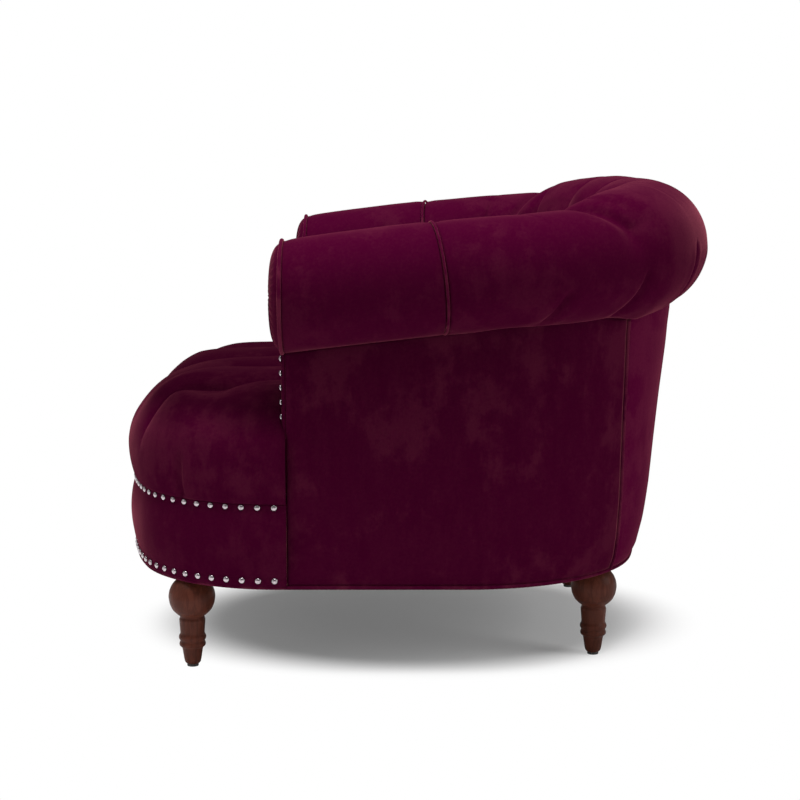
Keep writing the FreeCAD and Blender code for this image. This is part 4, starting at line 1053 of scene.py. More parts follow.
SEAT_FIRST_ROW_Y = ARM_FRONT_Y + 0.026
SEAT_WALL_STEPS, SEAT_EDGE_STEPS, SEAT_DECK_STEPS = 12, 44, 96
SEAT_EDGE_ROWS = SEAT_WALL_STEPS + SEAT_EDGE_STEPS
SEAT_LAST_FOLD, SEAT_END = 1.5, 2.25
SEAT_EDGE_COLUMNS = (0.0, 0.5, 1.0, 1.5)
SEAT_EDGE_REACH = (0.194, 0.181, 0.140, 0.080)
SEAT_SAG, SEAT_SAG_Y = 0.020, -0.325
SEAT_LIFT, SEAT_END_LIFT = 0.008, 0.006
SEAT_TUCK, SEAT_TUCK_DEPTH = 1.81, 0.0065


def seat_rear_y(x):
    bow_centre, corner_x, corner_y = bow_and_corner(
        INSIDE_X, INSIDE_CORNER, INSIDE_BOW, INSIDE_BACK_Y, 1
    )
    x = abs(x)
    touch = corner_x * INSIDE_BOW / (INSIDE_BOW - INSIDE_CORNER)
    if x <= touch:
        return bow_centre + math.sqrt(INSIDE_BOW**2 - x * x)
    return corner_y + math.sqrt(max(INSIDE_CORNER**2 - (x - corner_x) ** 2, 0.0))


def seat_column(c):
    """One column of the seat from its lower front rim over its edge to the back."""
    a = abs(c)
    side = 1 if c >= 0 else -1
    straight = min(a, SEAT_LAST_FOLD) * SEAT_PITCH
    last = SEAT_LAST_FOLD * SEAT_PITCH
    share = max(a - SEAT_LAST_FOLD, 0.0) / (SEAT_END - SEAT_LAST_FOLD)
    x = straight + (INSIDE_X - last) * share
    outline, out = front_place(straight + (front_end() - last) * share, SEAT_OVERHANG)
    side_reach = HALF_WIDTH + SEAT_OVERHANG - INSIDE_X
    edge_reach = np.interp(a, SEAT_EDGE_COLUMNS, SEAT_EDGE_REACH)
    reach = side_reach + (edge_reach - side_reach) * abs(out[1])
    points = []
    for z in np.linspace(SEAT_BOTTOM, SEAT_BULGE, SEAT_WALL_STEPS, endpoint=False):
        rise = (z - SEAT_BOTTOM) / (SEAT_BULGE - SEAT_BOTTOM)
        inset = 0.008 * (1 - math.sin(rise * math.pi / 2)) ** 1.3
        points.append(outline - out * inset + (0, 0, z))
    for angle in np.linspace(0, math.pi / 2, SEAT_EDGE_STEPS):
        z = SEAT_BULGE + (SEAT_CROWN - SEAT_BULGE) * math.sin(angle)
        points.append(outline - out * reach * (1 - math.cos(angle)) + (0, 0, z))
    edge = points[-1]
    rear = np.array((x, seat_rear_y(x), SEAT_CROWN - 0.004))
    first = np.array((x, max(SEAT_FIRST_ROW_Y, edge[1] + 0.02), SEAT_CROWN))
    deck = even(np.array([edge, first, rear]), SEAT_DECK_STEPS + 1)[1:]
    column = smoothed(np.array(points + list(deck)), 30, SEAT_EDGE_ROWS - 10)
    lift = SEAT_LIFT * ease((1.5 - a) / 0.3) + SEAT_END_LIFT * ease((a - 1.5) / 0.3)
    if side > 0:
        lift = lift - SEAT_SAG * hump(column[:, 1] - SEAT_SAG_Y, 0.05) * ease((a - 1.35) / 0.4)
    column[:, 2] += lift * ease((column[:, 2] - 0.37) / 0.05)
    column[:, 0] *= side
    if a >= SEAT_END - 1e-6:
        edge = column[:SEAT_EDGE_ROWS]
        wrap = ease((0.405 - edge[:, 2]) / 0.03)
        edge[:, 1] = EAR_END_Y + (ARM_FRONT_Y - SEAM_GAP - EAR_END_Y) * wrap
    return column


def seat_faces(top, vertices):
    """Faces of the seat's skin, its back, sides and underside; adds their corners to vertices."""
    rows, count = top.shape[:2]
    faces = grid_faces(rows, count)
    low = [len(vertices) + j for j in range(count)]
    vertices.extend((x, y, SEAT_BOTTOM) for x, y, _ in top[-1])
    faces += faces_between([(rows - 1) * count + j for j in range(count)], low)
    for j, order in ((0, 1), (count - 1, -1)):
        inner = len(vertices)
        vertices.append((math.copysign(INSIDE_X, top[0, j][0]), EAR_END_Y, SEAT_BOTTOM))
        line = [i * count + j for i in range(rows)]
        faces.append([inner] + line[:SEAT_EDGE_ROWS][::order])
        faces.append([inner] + line[SEAT_EDGE_ROWS - 1:] + [low[j]])
    faces.append(list(range(count)) + [len(vertices) - 1] + low[::-1] + [len(vertices) - 2])
    return faces


class ARMCHAIR_OT_seat_cover(bpy.types.Operator):
    """Seat with its puffs, folds over the front edge and buttons' hollows"""

    bl_idname = "armchair.seat_cover"
    bl_label = "Seat cover"

    def execute(self, context):
        sizes = context.scene.armchair_covers
        depth = sizes.seat_tuft_depth
        columns = np.linspace(-SEAT_END, SEAT_END, 4 * 104 + 1)
        grid = grid_of([seat_column(c) for c in columns])
        z = grid[..., 2]
        q = (grid[..., 1] - SEAT_FIRST_ROW_Y) / (2 * SEAT_ROW)
        q[:SEAT_EDGE_ROWS] = np.minimum(q[:SEAT_EDGE_ROWS], -0.01)
        rise = np.clip((z - SEAT_BULGE + 0.01) / (SEAT_CROWN - SEAT_BULGE), 0.0, 1.0)
        pleat = depth * FOLD_SHARE * ease(rise * 1.15)
        sink = tuft_sink(columns[None, :] + 0.5, q, SEAT_PITCH, 2 * SEAT_ROW, pleat, depth)
        away = np.abs(columns)
        outer = ease((away - 1.6) / 0.5)
        sink = sink * (1 - outer) + outer * 0.1 * depth
        sink[:SEAT_WALL_STEPS] *= np.linspace(0, 1, SEAT_WALL_STEPS)[:, None]
        tuck = hump(away - SEAT_TUCK, 0.016) - 0.35 * hump(away - SEAT_TUCK - 0.05, 0.03)
        sink += SEAT_TUCK_DEPTH * tuck * ease((0.352 - z) / 0.03)
        sink += cloth_noise(grid, 7.0, 3) * sizes.softness * ease(rise + 0.2)
        normals = grid_normals(grid, (SEAT_EDGE_ROWS + 20, len(columns) // 2), UP)
        sink[0] = 0.0
        top = grid - normals * sink[..., None]
        vertices = [tuple(point) for point in top.reshape(-1, 3)]
        faces = seat_faces(top, vertices)
        uvs = np.zeros((len(vertices), 2))
        uvs[:top.shape[0] * top.shape[1]] = grid_uvs(top)
        cover = new_object("seat_cover", vertices, faces, uvs)
        place_piece(cover, velvet("seat"), "velvet", "seat_pad")
        return {"FINISHED"}


# Outside


def shell_between(name, outer, inner):
    """A closed thin solid from the columns of its outer and of its inner face."""
    outer, inner = grid_of(outer), grid_of(inner)
    rows, columns = outer.shape[:2]
    count = rows * columns
    faces = grid_faces(rows, columns)
    faces += [face[::-1] for face in grid_faces(rows, columns, start=count)]
    index = np.arange(count).reshape(rows, columns)
    sides = (index[0], index[1:, -1], index[-1, -2::-1], index[-2::-1, 0])
    rim = np.concatenate(sides).tolist()
    faces += faces_between(rim, [count + k for k in rim])
    vertices = np.concatenate((outer.reshape(-1, 3), inner.reshape(-1, 3)))
    return new_object(name, vertices, faces, np.concatenate((grid_uvs(outer), grid_uvs(inner))))


def under_roll(point):
    """Height of the roll's underside over a point of the outside."""
    x, y = abs(point[0]), point[1]
    bow_centre, corner_x, corner_y = ROLL_CENTRES
    if y < corner_y:
        away, s = ARM_X - x, y - ROLL_START_Y
    else:
        angle = math.atan2(y - corner_y, x - corner_x)
        if angle < ROLL_TURN:
            away = ROLL_CORNER - math.hypot(x - corner_x, y - corner_y)
            s = ROLL_STRAIGHT + ROLL_CORNER * angle
        else:
            angle = math.atan2(y - bow_centre, x)
            away = ROLL_BOW - math.hypot(x, y - bow_centre)
            s = ROLL_STRAIGHT + ROLL_CORNER * ROLL_TURN + ROLL_BOW * (angle - ROLL_TURN)
    if s < 0:
        return arm_height(y) - math.sqrt(max(ARM_RADIUS**2 - away**2, 0.0))
    radius, height = roll_size(s)
    return height - min(math.sqrt(max(radius**2 - away**2, 0.0)), seat_share(s) * radius)


def outside_panel(name, start_at, end_at, sizes, seed):
    """A stretched outside cover between two distances round the back."""
    low = BODY_BOTTOM + WELT_SIZE - 0.0012
    across, up = np.linspace(0, 1, 110), np.linspace(0, 1, 64)
    outer, inner = [], []

    def place(share, z, outset=0.0):
        s = start_at(z) + (end_at(z) - start_at(z)) * share
        return rear_place(s, z, outset)[0]

    for share in across:
        heights = low + (under_roll(place(share, 0.544)) + 0.001 - low) * up
        outer.append([place(share, z) for z in heights])
        inner.append([place(share, z, -COVER_THICKNESS) for z in heights])
    outer = np.array(outer)
    edge = np.minimum.outer(np.minimum(across, 1 - across) * 0.5, np.minimum(up, 1 - up) * 0.4)
    waves = cloth_noise(outer, 6.0, seed) * sizes.softness * ease(edge / 0.04)
    rise = waves + 0.0025 * ease(edge / 0.08) - seam_dip(edge, 0.0012, 0.008)
    outward = outer.mean((0, 1)) * (1, 1, 0)
    normals = grid_normals(outer, (len(across) // 2, len(up) // 2), outward)
    return shell_between(name, outer + normals * rise[..., None], inner)


def rear_seam(z, shift=0.0):
    """Distance round the back at which its seam runs."""
    x = 0.250 + 0.105 * (z - BODY_BOTTOM) + shift
    corner_x = HALF_WIDTH - REAR_CORNER
    touch = math.asin(corner_x / (REAR_BOW - REAR_CORNER))
    return REAR_BOW * touch + REAR_CORNER * (math.asin((x - corner_x) / REAR_CORNER) - touch)

def panel_end(z):
    """Distance round the back to where the outside arm ends at its front."""
    corner_y = bow_and_corner(HALF_WIDTH, REAR_CORNER, REAR_BOW, rear_y(z), 1)[2]
    return corner_end(REAR_CORNER, REAR_BOW) + corner_y - ARM_FRONT_Y - SEAM_GAP


class ARMCHAIR_OT_outside_covers(bpy.types.Operator):
    """Stretched covers of the outside arms and the outside back"""

    bl_idname = "armchair.outside_covers"
    bl_label = "Outside covers"

    def execute(self, context):
        sizes = context.scene.armchair_covers
        half = WELT_SIZE / 2 - 0.0008

        def beside(z, shift=-half, side=1):
            return side * rear_seam(z, shift)

        left = outside_panel(
            "outside_cover_left", lambda z: beside(z, half), panel_end, sizes, 4
        )
        right = mirrored_object(left, "outside_cover_right")
        back = outside_panel(
            "outside_cover_back", lambda z: beside(z, side=-1), beside, sizes, 5
        )
        pairs = ((left, "outside_arm_left"), (right, "outside_arm_right"), (back, "outside_back"))
        for cover, node in pairs:
            # The outside back takes the velvet lightened with painted light from behind
            kind = "rear" if cover is back else "outside"
            place_piece(cover, velvet(kind), "velvet_outside", node)
        return {"FINISHED"}


class ARMCHAIR_OT_front_band(bpy.types.Operator):
    """Padded band under the seat, flat where the nails go"""

    bl_idname = "armchair.front_band"
    bl_label = "Front band"

    def execute(self, context):
        sizes = context.scene.armchair_covers
        heights = np.linspace(BODY_BOTTOM + WELT_SIZE - 0.0012, SEAT_BOTTOM - SEAM_GAP, 50)
        top_margin, low_margin = NAIL_LINE - 0.0056, LOWER_NAIL_LINE + 0.0056
        share = np.clip((heights - low_margin) / (top_margin - low_margin), 0, 1)
        rise = 0.003 + 0.009 * np.sin(np.pi * share) ** 0.75
        end = front_end() + ARM_FRONT_Y - SEAM_GAP - EAR_END_Y
        stations = np.linspace(-end, end, 221)

        def band(outsets):
            return [
                [front_place(s, outset)[0] + (0, 0, z) for outset, z in zip(outsets, heights)]
                for s in stations
            ]

        outer = np.array(band(rise))
        margin = np.minimum(heights - low_margin, top_margin - heights)
        soft = ease((end - np.abs(stations)) / 0.03)[:, None] * ease(margin / 0.02)[None, :]
        waves = cloth_noise(outer, 9.0, 6) * sizes.softness * soft
        direction = np.array([front_place(s)[1] for s in stations])[:, None, :]
        inner = band([-COVER_THICKNESS] * len(heights))
        cover = shell_between("front_band", outer + direction * waves[..., None], inner)
        place_piece(cover, velvet(), "velvet", "apron_panel")
        return {"FINISHED"}


class ARMCHAIR_OT_arm_fronts(bpy.types.Operator):
    """Padded strips under the arms' fronts and the pleated round facings"""

    bl_idname = "armchair.arm_fronts"
    bl_label = "Arm fronts"

    def execute(self, context):
        for make, twin, nodes in (
            (self.strip, "arm_front_strip_right", ("arm_front_panel_left", "arm_front_panel_right")),
            (self.facing, "facing_right", ("arm_facings", "arm_facings")),
        ):
            left = make()
            for obj, node in zip((left, mirrored_object(left, twin)), nodes):
                place_piece(obj, velvet(), "velvet", node)
        return {"FINISHED"}

    def strip(self):
        """The strip between two upright edges, cut round under the arm's piping."""
        x0, x1 = INSIDE_X + 0.002, HALF_WIDTH - 0.002
        clear = ARM_RADIUS + PIPING_RISE + SEAM_GAP
        outer, inner = [], []
        for x in np.linspace(x0, x1, 28):
            top = ARM_FRONT_HEIGHT - math.sqrt(clear**2 - (x - ARM_X) ** 2)
            heights = np.linspace(STRIP_BOTTOM, top, 60)
            rise = 0.006 * ease((min(x - x0, x1 - x) + 0.003) / 0.009)
            outer.append([(x, FACE_Y - rise, z) for z in heights])
            inner.append([(x, FACE_Y, z) for z in heights])
        return shell_between("arm_front_strip_left", outer, inner)

    def facing(self):
        """A domed rosette whose pleats run out from a small hub."""
        trim = bpy.context.scene.armchair_trim
        centre = np.array((ARM_X, FACE_Y, ARM_FRONT_HEIGHT))
        segments, rings = trim.facing_pleats * 10, 40
        turn = np.linspace(0, 2 * math.pi, segments, endpoint=False)
        fold = (turn * trim.facing_pleats / (2 * math.pi)) % 1.0
        tuck = np.where(fold < 0.82, fold / 0.82, (1 - fold) / 0.18)
        rows = []
        for share in 1 - np.arange(rings) / rings:
            dome = math.sqrt(max(1 - share**5, 0.0)) * (0.90 + 0.10 * (1 - share**2))
            depth = 0.0022 * math.sin(math.pi * min(share * 1.05, 1.0)) ** 0.6
            lift = np.maximum(trim.facing_bulge * dome - depth * (1 - tuck), 0.0002)
            lift = lift * (share < 1)
            reach = FACING_RADIUS * share
            ring = np.stack((reach * np.cos(turn), -lift, reach * np.sin(turn)), 1)
            rows.append(centre + ring)
        hub = centre + np.array(FORWARD) * trim.facing_bulge * 0.96
        vertices = np.concatenate((*rows, [hub]))
        faces = grid_faces(rings, segments, wrap_columns=True)
        last = (rings - 1) * segments
        for j in range(segments):
            faces.append((last + j, last + (j + 1) % segments, len(vertices) - 1))
        faces.append(list(range(segments)))
        return new_object("facing_left", vertices, faces)


# Trim


def cord_mesh(name, path, radius, closed=False, sides=14):
    """A covered cord along a path, with shallow puckers where it's stitched."""
    path = np.asarray(path, float)
    if closed:
        tangent = np.roll(path, -1, 0) - np.roll(path, 1, 0)
    else:
        tangent = np.gradient(path, axis=0)
    tangent /= np.linalg.norm(tangent, axis=1, keepdims=True)
    across = np.zeros_like(path)
    previous = np.cross(tangent[0], (0.0, 0.0, 1.0))
    if np.linalg.norm(previous) < 0.1:
        previous = np.cross(tangent[0], (1.0, 0.0, 0.0))
    for k, direction in enumerate(tangent):
        previous = previous - direction * np.dot(previous, direction)
        previous /= np.linalg.norm(previous)
        across[k] = previous
    up = np.cross(tangent, across)
    steps = np.linalg.norm(np.diff(path, axis=0), axis=1)
    length = np.concatenate(([0.0], np.cumsum(steps)))
    pucker = 1 + PUCKER_SHARE * np.sin(length * 2 * math.pi / PUCKER_PITCH)
    rows = []
    for k in range(sides):
        angle = 2 * math.pi * k / sides
        ring = across * math.cos(angle) + up * math.sin(angle)
        rows.append(path + ring * (radius * pucker)[:, None])
    return tube_object(name, np.array(rows), closed)

class ARMCHAIR_OT_piping(bpy.types.Operator):
    """Covered cord round the arms, down the rear seams and round the bottom"""

    bl_idname = "armchair.piping"
    bl_label = "Piping"

    def execute(self, context):
        radius = context.scene.armchair_trim.piping_diameter / 2
        front = self.arm_ring(ARM_FRONT_Y - SEAM_GAP - radius, ARM_FRONT_HEIGHT, 0, 360, radius)
        middle_y = ARM_FRONT_Y + ARM_SECTION + SEAM_GAP + radius
        middle = self.arm_ring(middle_y, arm_height(middle_y), -84, 196, radius + 0.0006)
        heights = np.linspace(BODY_BOTTOM + WELT_SIZE - 0.001, 0.5445, 120)
        rear = [rear_place(rear_seam(z), z, -radius + 0.0026)[0] for z in heights]
        cords = (
            (cord_mesh("piping_arm_front_left", front[:-1], radius, closed=True), "arm_welts"),
            (cord_mesh("piping_arm_middle_left", slanted(middle), radius * 0.72), "arm_welts"),
            (cord_mesh("piping_rear_left", rear, radius * 0.9), "rear_seam_welts"),
        )
        for left, node in cords:
            for piece in (left, mirrored_object(left, left.name.replace("_left", "_right"))):
                place_piece(piece, velvet("piping"), "velvet_piping", node)
        bottom = cord_mesh("piping_bottom", self.bottom_path(radius), radius, closed=True)
        place_piece(bottom, velvet("piping"), "velvet_piping", "bottom_welt")
        return {"FINISHED"}

    def arm_ring(self, y, height, first, last, radius):
        turn = np.radians(np.linspace(first, last, 161))
        reach = ARM_RADIUS + PIPING_RISE - radius
        x, z = ARM_X + reach * np.cos(turn), height + reach * np.sin(turn)
        return np.stack((x, np.full(len(turn), y), z), 1)

    def bottom_path(self, radius):
        """The line round the bottom of the body, from the front round the back."""
        proud = PIPING_RISE - radius
        front = corner_end(FRONT_CORNER, FRONT_BOW)
        rear = corner_end(REAR_CORNER, REAR_BOW)
        path = [front_place(s, proud)[0] for s in np.linspace(-front, front, 220)]
        for s in np.linspace(rear, -rear, 220):
            path.append(rear_place(s, BODY_BOTTOM, proud)[0] * (1, 1, 0))
        path = np.array(path + path[:1]) + (0, 0, BODY_BOTTOM + radius)
        return even(path, 900)[:-1]


def heads_tree():
    """Geometry nodes that set a small head on each point, turned to the point's own direction."""
    tree = bpy.data.node_groups.new("Heads on points", "GeometryNodeTree")
    for label, kind in (
        ("Geometry", "Geometry"),
        ("Head", "Object"),
        ("Scatter", "Float"),
        ("Seed", "Int"),
        ("Material", "Material"),
    ):
        tree.interface.new_socket(label, in_out="INPUT", socket_type="NodeSocket" + kind)
    tree.interface.new_socket("Geometry", in_out="OUTPUT", socket_type="NodeSocketGeometry")
    given = tree.nodes.new("NodeGroupInput").outputs
    seed = given["Seed"]
    head = add(tree, "GeometryNodeObjectInfo", {"Object": given["Head"]})
    out = add(tree, "GeometryNodeInputNamedAttribute", {"Name": "out"}, data_type="FLOAT_VECTOR")
    vector = {"Vector": out.outputs["Attribute"]}
    align = add(tree, "FunctionNodeAlignRotationToVector", vector, axis="Z")
    spin = {2: 0.0, 3: 2 * math.pi, "Seed": seed}
    angle = add(tree, "FunctionNodeRandomValue", spin, data_type="FLOAT").outputs[1]
    turn = add(tree, "FunctionNodeAxisAngleToRotation", {"Angle": angle})
    turns = {"Rotation": align.outputs[0], "Rotate By": turn.outputs[0]}
    both = add(tree, "FunctionNodeRotateRotation", turns, rotation_space="LOCAL")
    grow = {2: math_node(tree, "SUBTRACT", 1.0, given["Scatter"]), 3: 1.0, "Seed": seed}
    size = add(tree, "FunctionNodeRandomValue", grow, data_type="FLOAT")
    places = {
        "Points": given["Geometry"],
        "Instance": head.outputs["Geometry"],
        "Rotation": both.outputs[0],
        "Scale": size.outputs[1],
    }
    heads = add(tree, "GeometryNodeInstanceOnPoints", places)
    real = add(tree, "GeometryNodeRealizeInstances", {0: heads.outputs[0]})
    paint = {"Geometry": real.outputs[0], "Material": given["Material"]}
    painted = add(tree, "GeometryNodeSetMaterial", paint)
    add(tree, "NodeGroupOutput", {0: painted.outputs[0]})
    return tree


def heads_on(name, places, outs, head, finish, scatter, seed):
    """A plain mesh of small heads, one on each place."""
    mesh = bpy.data.meshes.new(name + "_points")
    mesh.from_pydata([tuple(p) for p in places], [], [])
    attribute = mesh.attributes.new("out", "FLOAT_VECTOR", "POINT")
    attribute.data.foreach_set("vector", np.asarray(outs, np.float32).ravel())
    points = linked(name + "_points", mesh)
    tree = bpy.data.node_groups.get("Heads on points") or heads_tree()
    modifier = points.modifiers.new("Heads", "NODES")
    modifier.node_group = tree
    values = {"Head": head, "Scatter": scatter, "Seed": seed, "Material": finish}
    for item in tree.interface.items_tree:
        if item.in_out == "INPUT" and item.name in values:
            modifier[item.identifier] = values[item.name]
    bpy.context.view_layer.update()
    evaluated = points.evaluated_get(bpy.context.evaluated_depsgraph_get())
    made = bpy.data.meshes.new_from_object(evaluated)
    made.name = name
    bpy.data.objects.remove(points)
    shaded_smooth(made)
    return linked(name, made)


def lathe(name, profile, segments):
    """A turned solid about Z from (radius, height) pairs, closed at both ends."""
    turn = np.linspace(0, 2 * math.pi, segments, endpoint=False)
    rows = [(r * np.cos(turn), r * np.sin(turn), np.full(segments, z)) for r, z in profile]
    caps = [(0, 0, profile[0][1]), (0, 0, profile[-1][1])]
    vertices = np.concatenate((*(np.stack(row, 1) for row in rows), caps))
    faces = grid_faces(len(profile), segments, wrap_columns=True)
    count = len(profile) * segments
    last = count - segments
    for j in range(segments):
        k = (j + 1) % segments
        faces.append((count, k, j))
        faces.append((count + 1, last + j, last + k))
    return new_object(name, vertices, faces)


class ARMCHAIR_OT_nails(bpy.types.Operator):
    """Domed nail heads on the front band and the arms' fronts"""

    bl_idname = "armchair.nails"
    bl_label = "Nail heads"

    def execute(self, context):
        trim = context.scene.armchair_trim
        radius = trim.nail_diameter / 2
        profile = [(radius * 0.97, 0.0)]
        for angle in np.linspace(0, 1.45, 8):
            profile.append((radius * math.cos(angle), 0.0002 + NAIL_DOME * math.sin(angle)))
        head = lathe("nail_head", profile, 20)
        count = int((front_end() - radius - 0.001) / trim.nail_pitch)
        rows = [front_place(k * trim.nail_pitch, 0.0031) for k in range(-count, count + 1)]
        arms, outs = [], [out for _, out in rows]
        for side in (-1, 1):
            for x, start, number in ARM_NAIL_ROWS:
                for k in range(number):
                    arms.append((side * x, ARM_NAIL_Y, start + ARM_NAIL_PITCH * k))
        for name, places, directions, seed, node in (
            ("nails_upper", [p + (0, 0, NAIL_LINE) for p, _ in rows], outs, 11, "apron_nails_upper"),
            ("nails_lower", [p + (0, 0, LOWER_NAIL_LINE) for p, _ in rows], outs, 12, "apron_nails_lower"),
            ("nails_arm_fronts", arms, [FORWARD] * len(arms), 13, "arm_front_nails"),
        ):
            obj = heads_on(name, places, directions, head, nail_metal(), 0.02, seed)
            place_piece(obj, nail_metal(), "nail_heads", node)
        bpy.data.objects.remove(head)
        return {"FINISHED"}


class ARMCHAIR_OT_buttons(bpy.types.Operator):
    """Covered buttons in the hollows of the back, the arms and the seat"""

    bl_idname = "armchair.buttons"
    bl_label = "Buttons"

    def execute(self, context):
        radius = context.scene.armchair_covers.button_diameter / 2
        profile = [(radius * 0.86, -0.002), (radius, 0.0)]
        for angle in np.linspace(0.15, 1.5, 9):
            profile.append((radius * math.cos(angle) ** 0.8, BUTTON_DOME * math.sin(angle)))
        head = lathe("button_head", profile, 24)
        for name, cover, rays, kind, seed, node in (
            ("back", "back_cover", self.back_rays(), "cover", 21, "inside_back_buttons"),
            ("arms", "arm_cover_left", self.arm_rays(), "cover", 22, "inside_arm_buttons"),
            ("seat", "seat_cover", self.seat_rays(), "seat", 23, "seat_buttons"),
        ):
            places, outs = self.seated(bpy.data.objects[cover], rays)
            if name == "arms":
                places += [p * (-1, 1, 1) for p in places]
                outs += [o * (-1, 1, 1) for o in outs]
            obj = heads_on("buttons_" + name, places, outs, head, velvet(kind), 0.0, seed)
            place_piece(obj, velvet(kind), "velvet", node)
        bpy.data.objects.remove(head)
        return {"FINISHED"}

    def seated(self, cover, rays):
        """Places just above a cover where rays meet it, and the way back along each ray."""
        places, outs = [], []
        for start, direction in rays:
            hit, point, _, _ = cover.ray_cast(Vector(start), Vector(direction))
            if not hit:
                raise RuntimeError(f"no cover behind the button at {start}")
            out = -np.array(direction)
            places.append(np.array(point) + out * BUTTON_LIFT)
            outs.append(out)
        return places, outs

    def back_rays(self):
        rays = []
        for row, shift in BUTTON_ROWS:
            for k in range(BACK_COLUMNS):
                c = k + shift - BACK_COLUMNS / 2
                if abs(c) > BACK_COLUMNS / 2 - 0.2:
                    continue
                inner = np.interp(abs(c), PLEAT_COLUMNS, PLEAT_INNER)
                z = tuft_height(row, roll_size(inner, 180.0)[1])
                point, out = inside_place(0.5 - c / BACK_COLUMNS, z)
                direction = out + (0, 0, -INSIDE_LEAN * abs(out[1]))
                direction = direction / np.linalg.norm(direction)
                rays.append((point - direction * 0.05, direction))
        return rays

    def arm_rays(self):
        rays = []
        for row, shift in BUTTON_ROWS:
            for k in range(ARM_COLUMNS):
                share = (k + shift) / ARM_COLUMNS
                if share > 0:
                    z = tuft_height(row, arm_height(ARM_FRONT_Y + ARM_SECTION * share))
                    rays.append(((INSIDE_X - 0.05, arm_pad_y(share), z), (1.0, 0.0, 0.0)))
        return rays

    def seat_rays(self):
        rays = []
        for row, columns in enumerate(SEAT_BUTTON_ROWS):
            y = SEAT_FIRST_ROW_Y + row * SEAT_ROW
            rays += [((c * SEAT_PITCH, y, 0.5), (0.0, 0.0, -1.0)) for c in columns]
        return rays


# Legs and inner parts

# Radius and height of each turn of a leg, from its glide up to its neck
LEG_PROFILE = (
    (0.0095, 0.0040), (0.0123, 0.0062), (0.0135, 0.0120), (0.0162, 0.0300), (0.0170, 0.0312),
    (0.0200, 0.0322), (0.0210, 0.0355), (0.0204, 0.0385), (0.0186, 0.0400), (0.0184, 0.0415),
    (0.0206, 0.0430), (0.0218, 0.0465), (0.0208, 0.0500), (0.0188, 0.0518), (0.0188, 0.0540),
    (0.0206, 0.0765), (0.0184, 0.0785), (0.0182, 0.0800), (0.0200, 0.0815), (0.0236, 0.0840),
    (0.0306, 0.0910), (0.0350, 0.1010), (0.0366, 0.1120), (0.0352, 0.1210), (0.0312, 0.1300),
    (0.0262, 0.1360), (0.0192, 0.1418),
)
GLIDE_PROFILE = ((0.0086, 0.0), (0.009, 0.0004), (0.009, 0.0036), (0.0086, 0.004))


class ARMCHAIR_OT_legs(bpy.types.Operator):
    """Turned legs and their glides"""

    bl_idname = "armchair.legs"
    bl_label = "Legs"

    def execute(self, context):
        leg = lathe("leg", smoothed(even(np.array(LEG_PROFILE), 110), 3), 56)
        glide = lathe("glide", GLIDE_PROFILE, 32)
        for name, base, finish, slot, node in (
            ("turned_legs_shaped", leg, turned_wood(), "turned_wood", "turned_legs"),
            ("glides_shaped", glide, plain_finish("Moulded glide"), "glide", "leg_glides"),
        ):
            made = bmesh.new()
            for x, y in LEG_PLACES:
                copy = base.data.copy()
                copy.transform(Matrix.Translation((x, y, 0)))
                made.from_mesh(copy)
                bpy.data.meshes.remove(copy)
            mesh = bpy.data.meshes.new(name)
            made.to_mesh(mesh)
            made.free()
            shaded_smooth(mesh)
            place_piece(linked(name, mesh), finish, slot, node)
            bpy.data.objects.remove(base)
        return {"FINISHED"}


def copied_node(node, name):
    """A copy of a node's solid with its doubled points joined."""
    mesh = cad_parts[node].data.copy()
    mesh.name = name
    turned_outward(mesh, merge=True)
    return linked(name, mesh)


class ARMCHAIR_OT_inner_parts(bpy.types.Operator):
    """Frame timber, straps, deck cloth, foam and the cloth underneath"""

    bl_idname = "armchair.inner_parts"
    bl_label = "Inner parts"

    def execute(self, context):
        for node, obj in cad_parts.items():
            if node.startswith(TIMBER_NAMES) and node != "back_roll":
                obj.data.materials.clear()
                obj.data.materials.append(plain_finish("Planed frame wood"))
        straps = copied_node("seat_webbing", "webbing_straps")
        place_piece(straps, plain_finish("Jute strap"), "webbing", "seat_webbing")
        core = copied_node("seat_foam", "foam_core")
        place_piece(core, plain_finish("Cushion foam"), "foam", "seat_foam")
        for node, name, finish, slot, rest in (
            ("seat_deck_cloth", "deck_cloth_sheet", "Deck cotton", "deck_cloth", "seat_webbing"),
            ("dust_cover", "bottom_cloth_sheet", "Bottom cloth", "dust_cloth", "base_front_rail"),
        ):
            obj = copied_node(node, name)
            place_piece(obj, plain_finish(finish), slot, node)
        return {"FINISHED"}


# Stage

FLOOR_RADIUS, FLOOR_SIDES = 14.0, 96
# Half lengths of the shadow's ellipse, the shares of it between which the floor turns white, and the faint
# painted glow left in the shadow
SHADOW_HALF_SIZE = (0.37, 0.47)
SHADOW_FROM, SHADOW_TO, SHADOW_PAINTED_GLOW = 0.68, 1.05, 0.11
# Each light's place, target, size and power
LIGHTS = {
    "Top": ((0.5, -0.2, 3.0), (0.1, 0.0, 0.4), (2.0, 2.0), 165.0),
    "Rear side": ((1.0, 3.0, 1.5), (0, 0.3, 0.45), (1.8, 1.8), 34.0),
    "Front side": ((1.0, -3.2, 1.3), (0, -0.1, 0.4), (3.2, 2.4), 14.0),
}
CAMERA_PLACE, CAMERA_DROP, CAMERA_LENS = (3.2, -0.028, 0.844), 8.29, 86.07


def area_light(name, place, target, size, power):
    data = bpy.data.lights.new(name, "AREA")
    data.shape = "RECTANGLE"
    data.size, data.size_y = size
    data.energy = power
    obj = linked(name, data)
    obj.location = place
    obj.visible_camera = False
    direction = Vector(target) - Vector(place)
    obj.rotation_euler = direction.to_track_quat("-Z", "Y").to_euler()


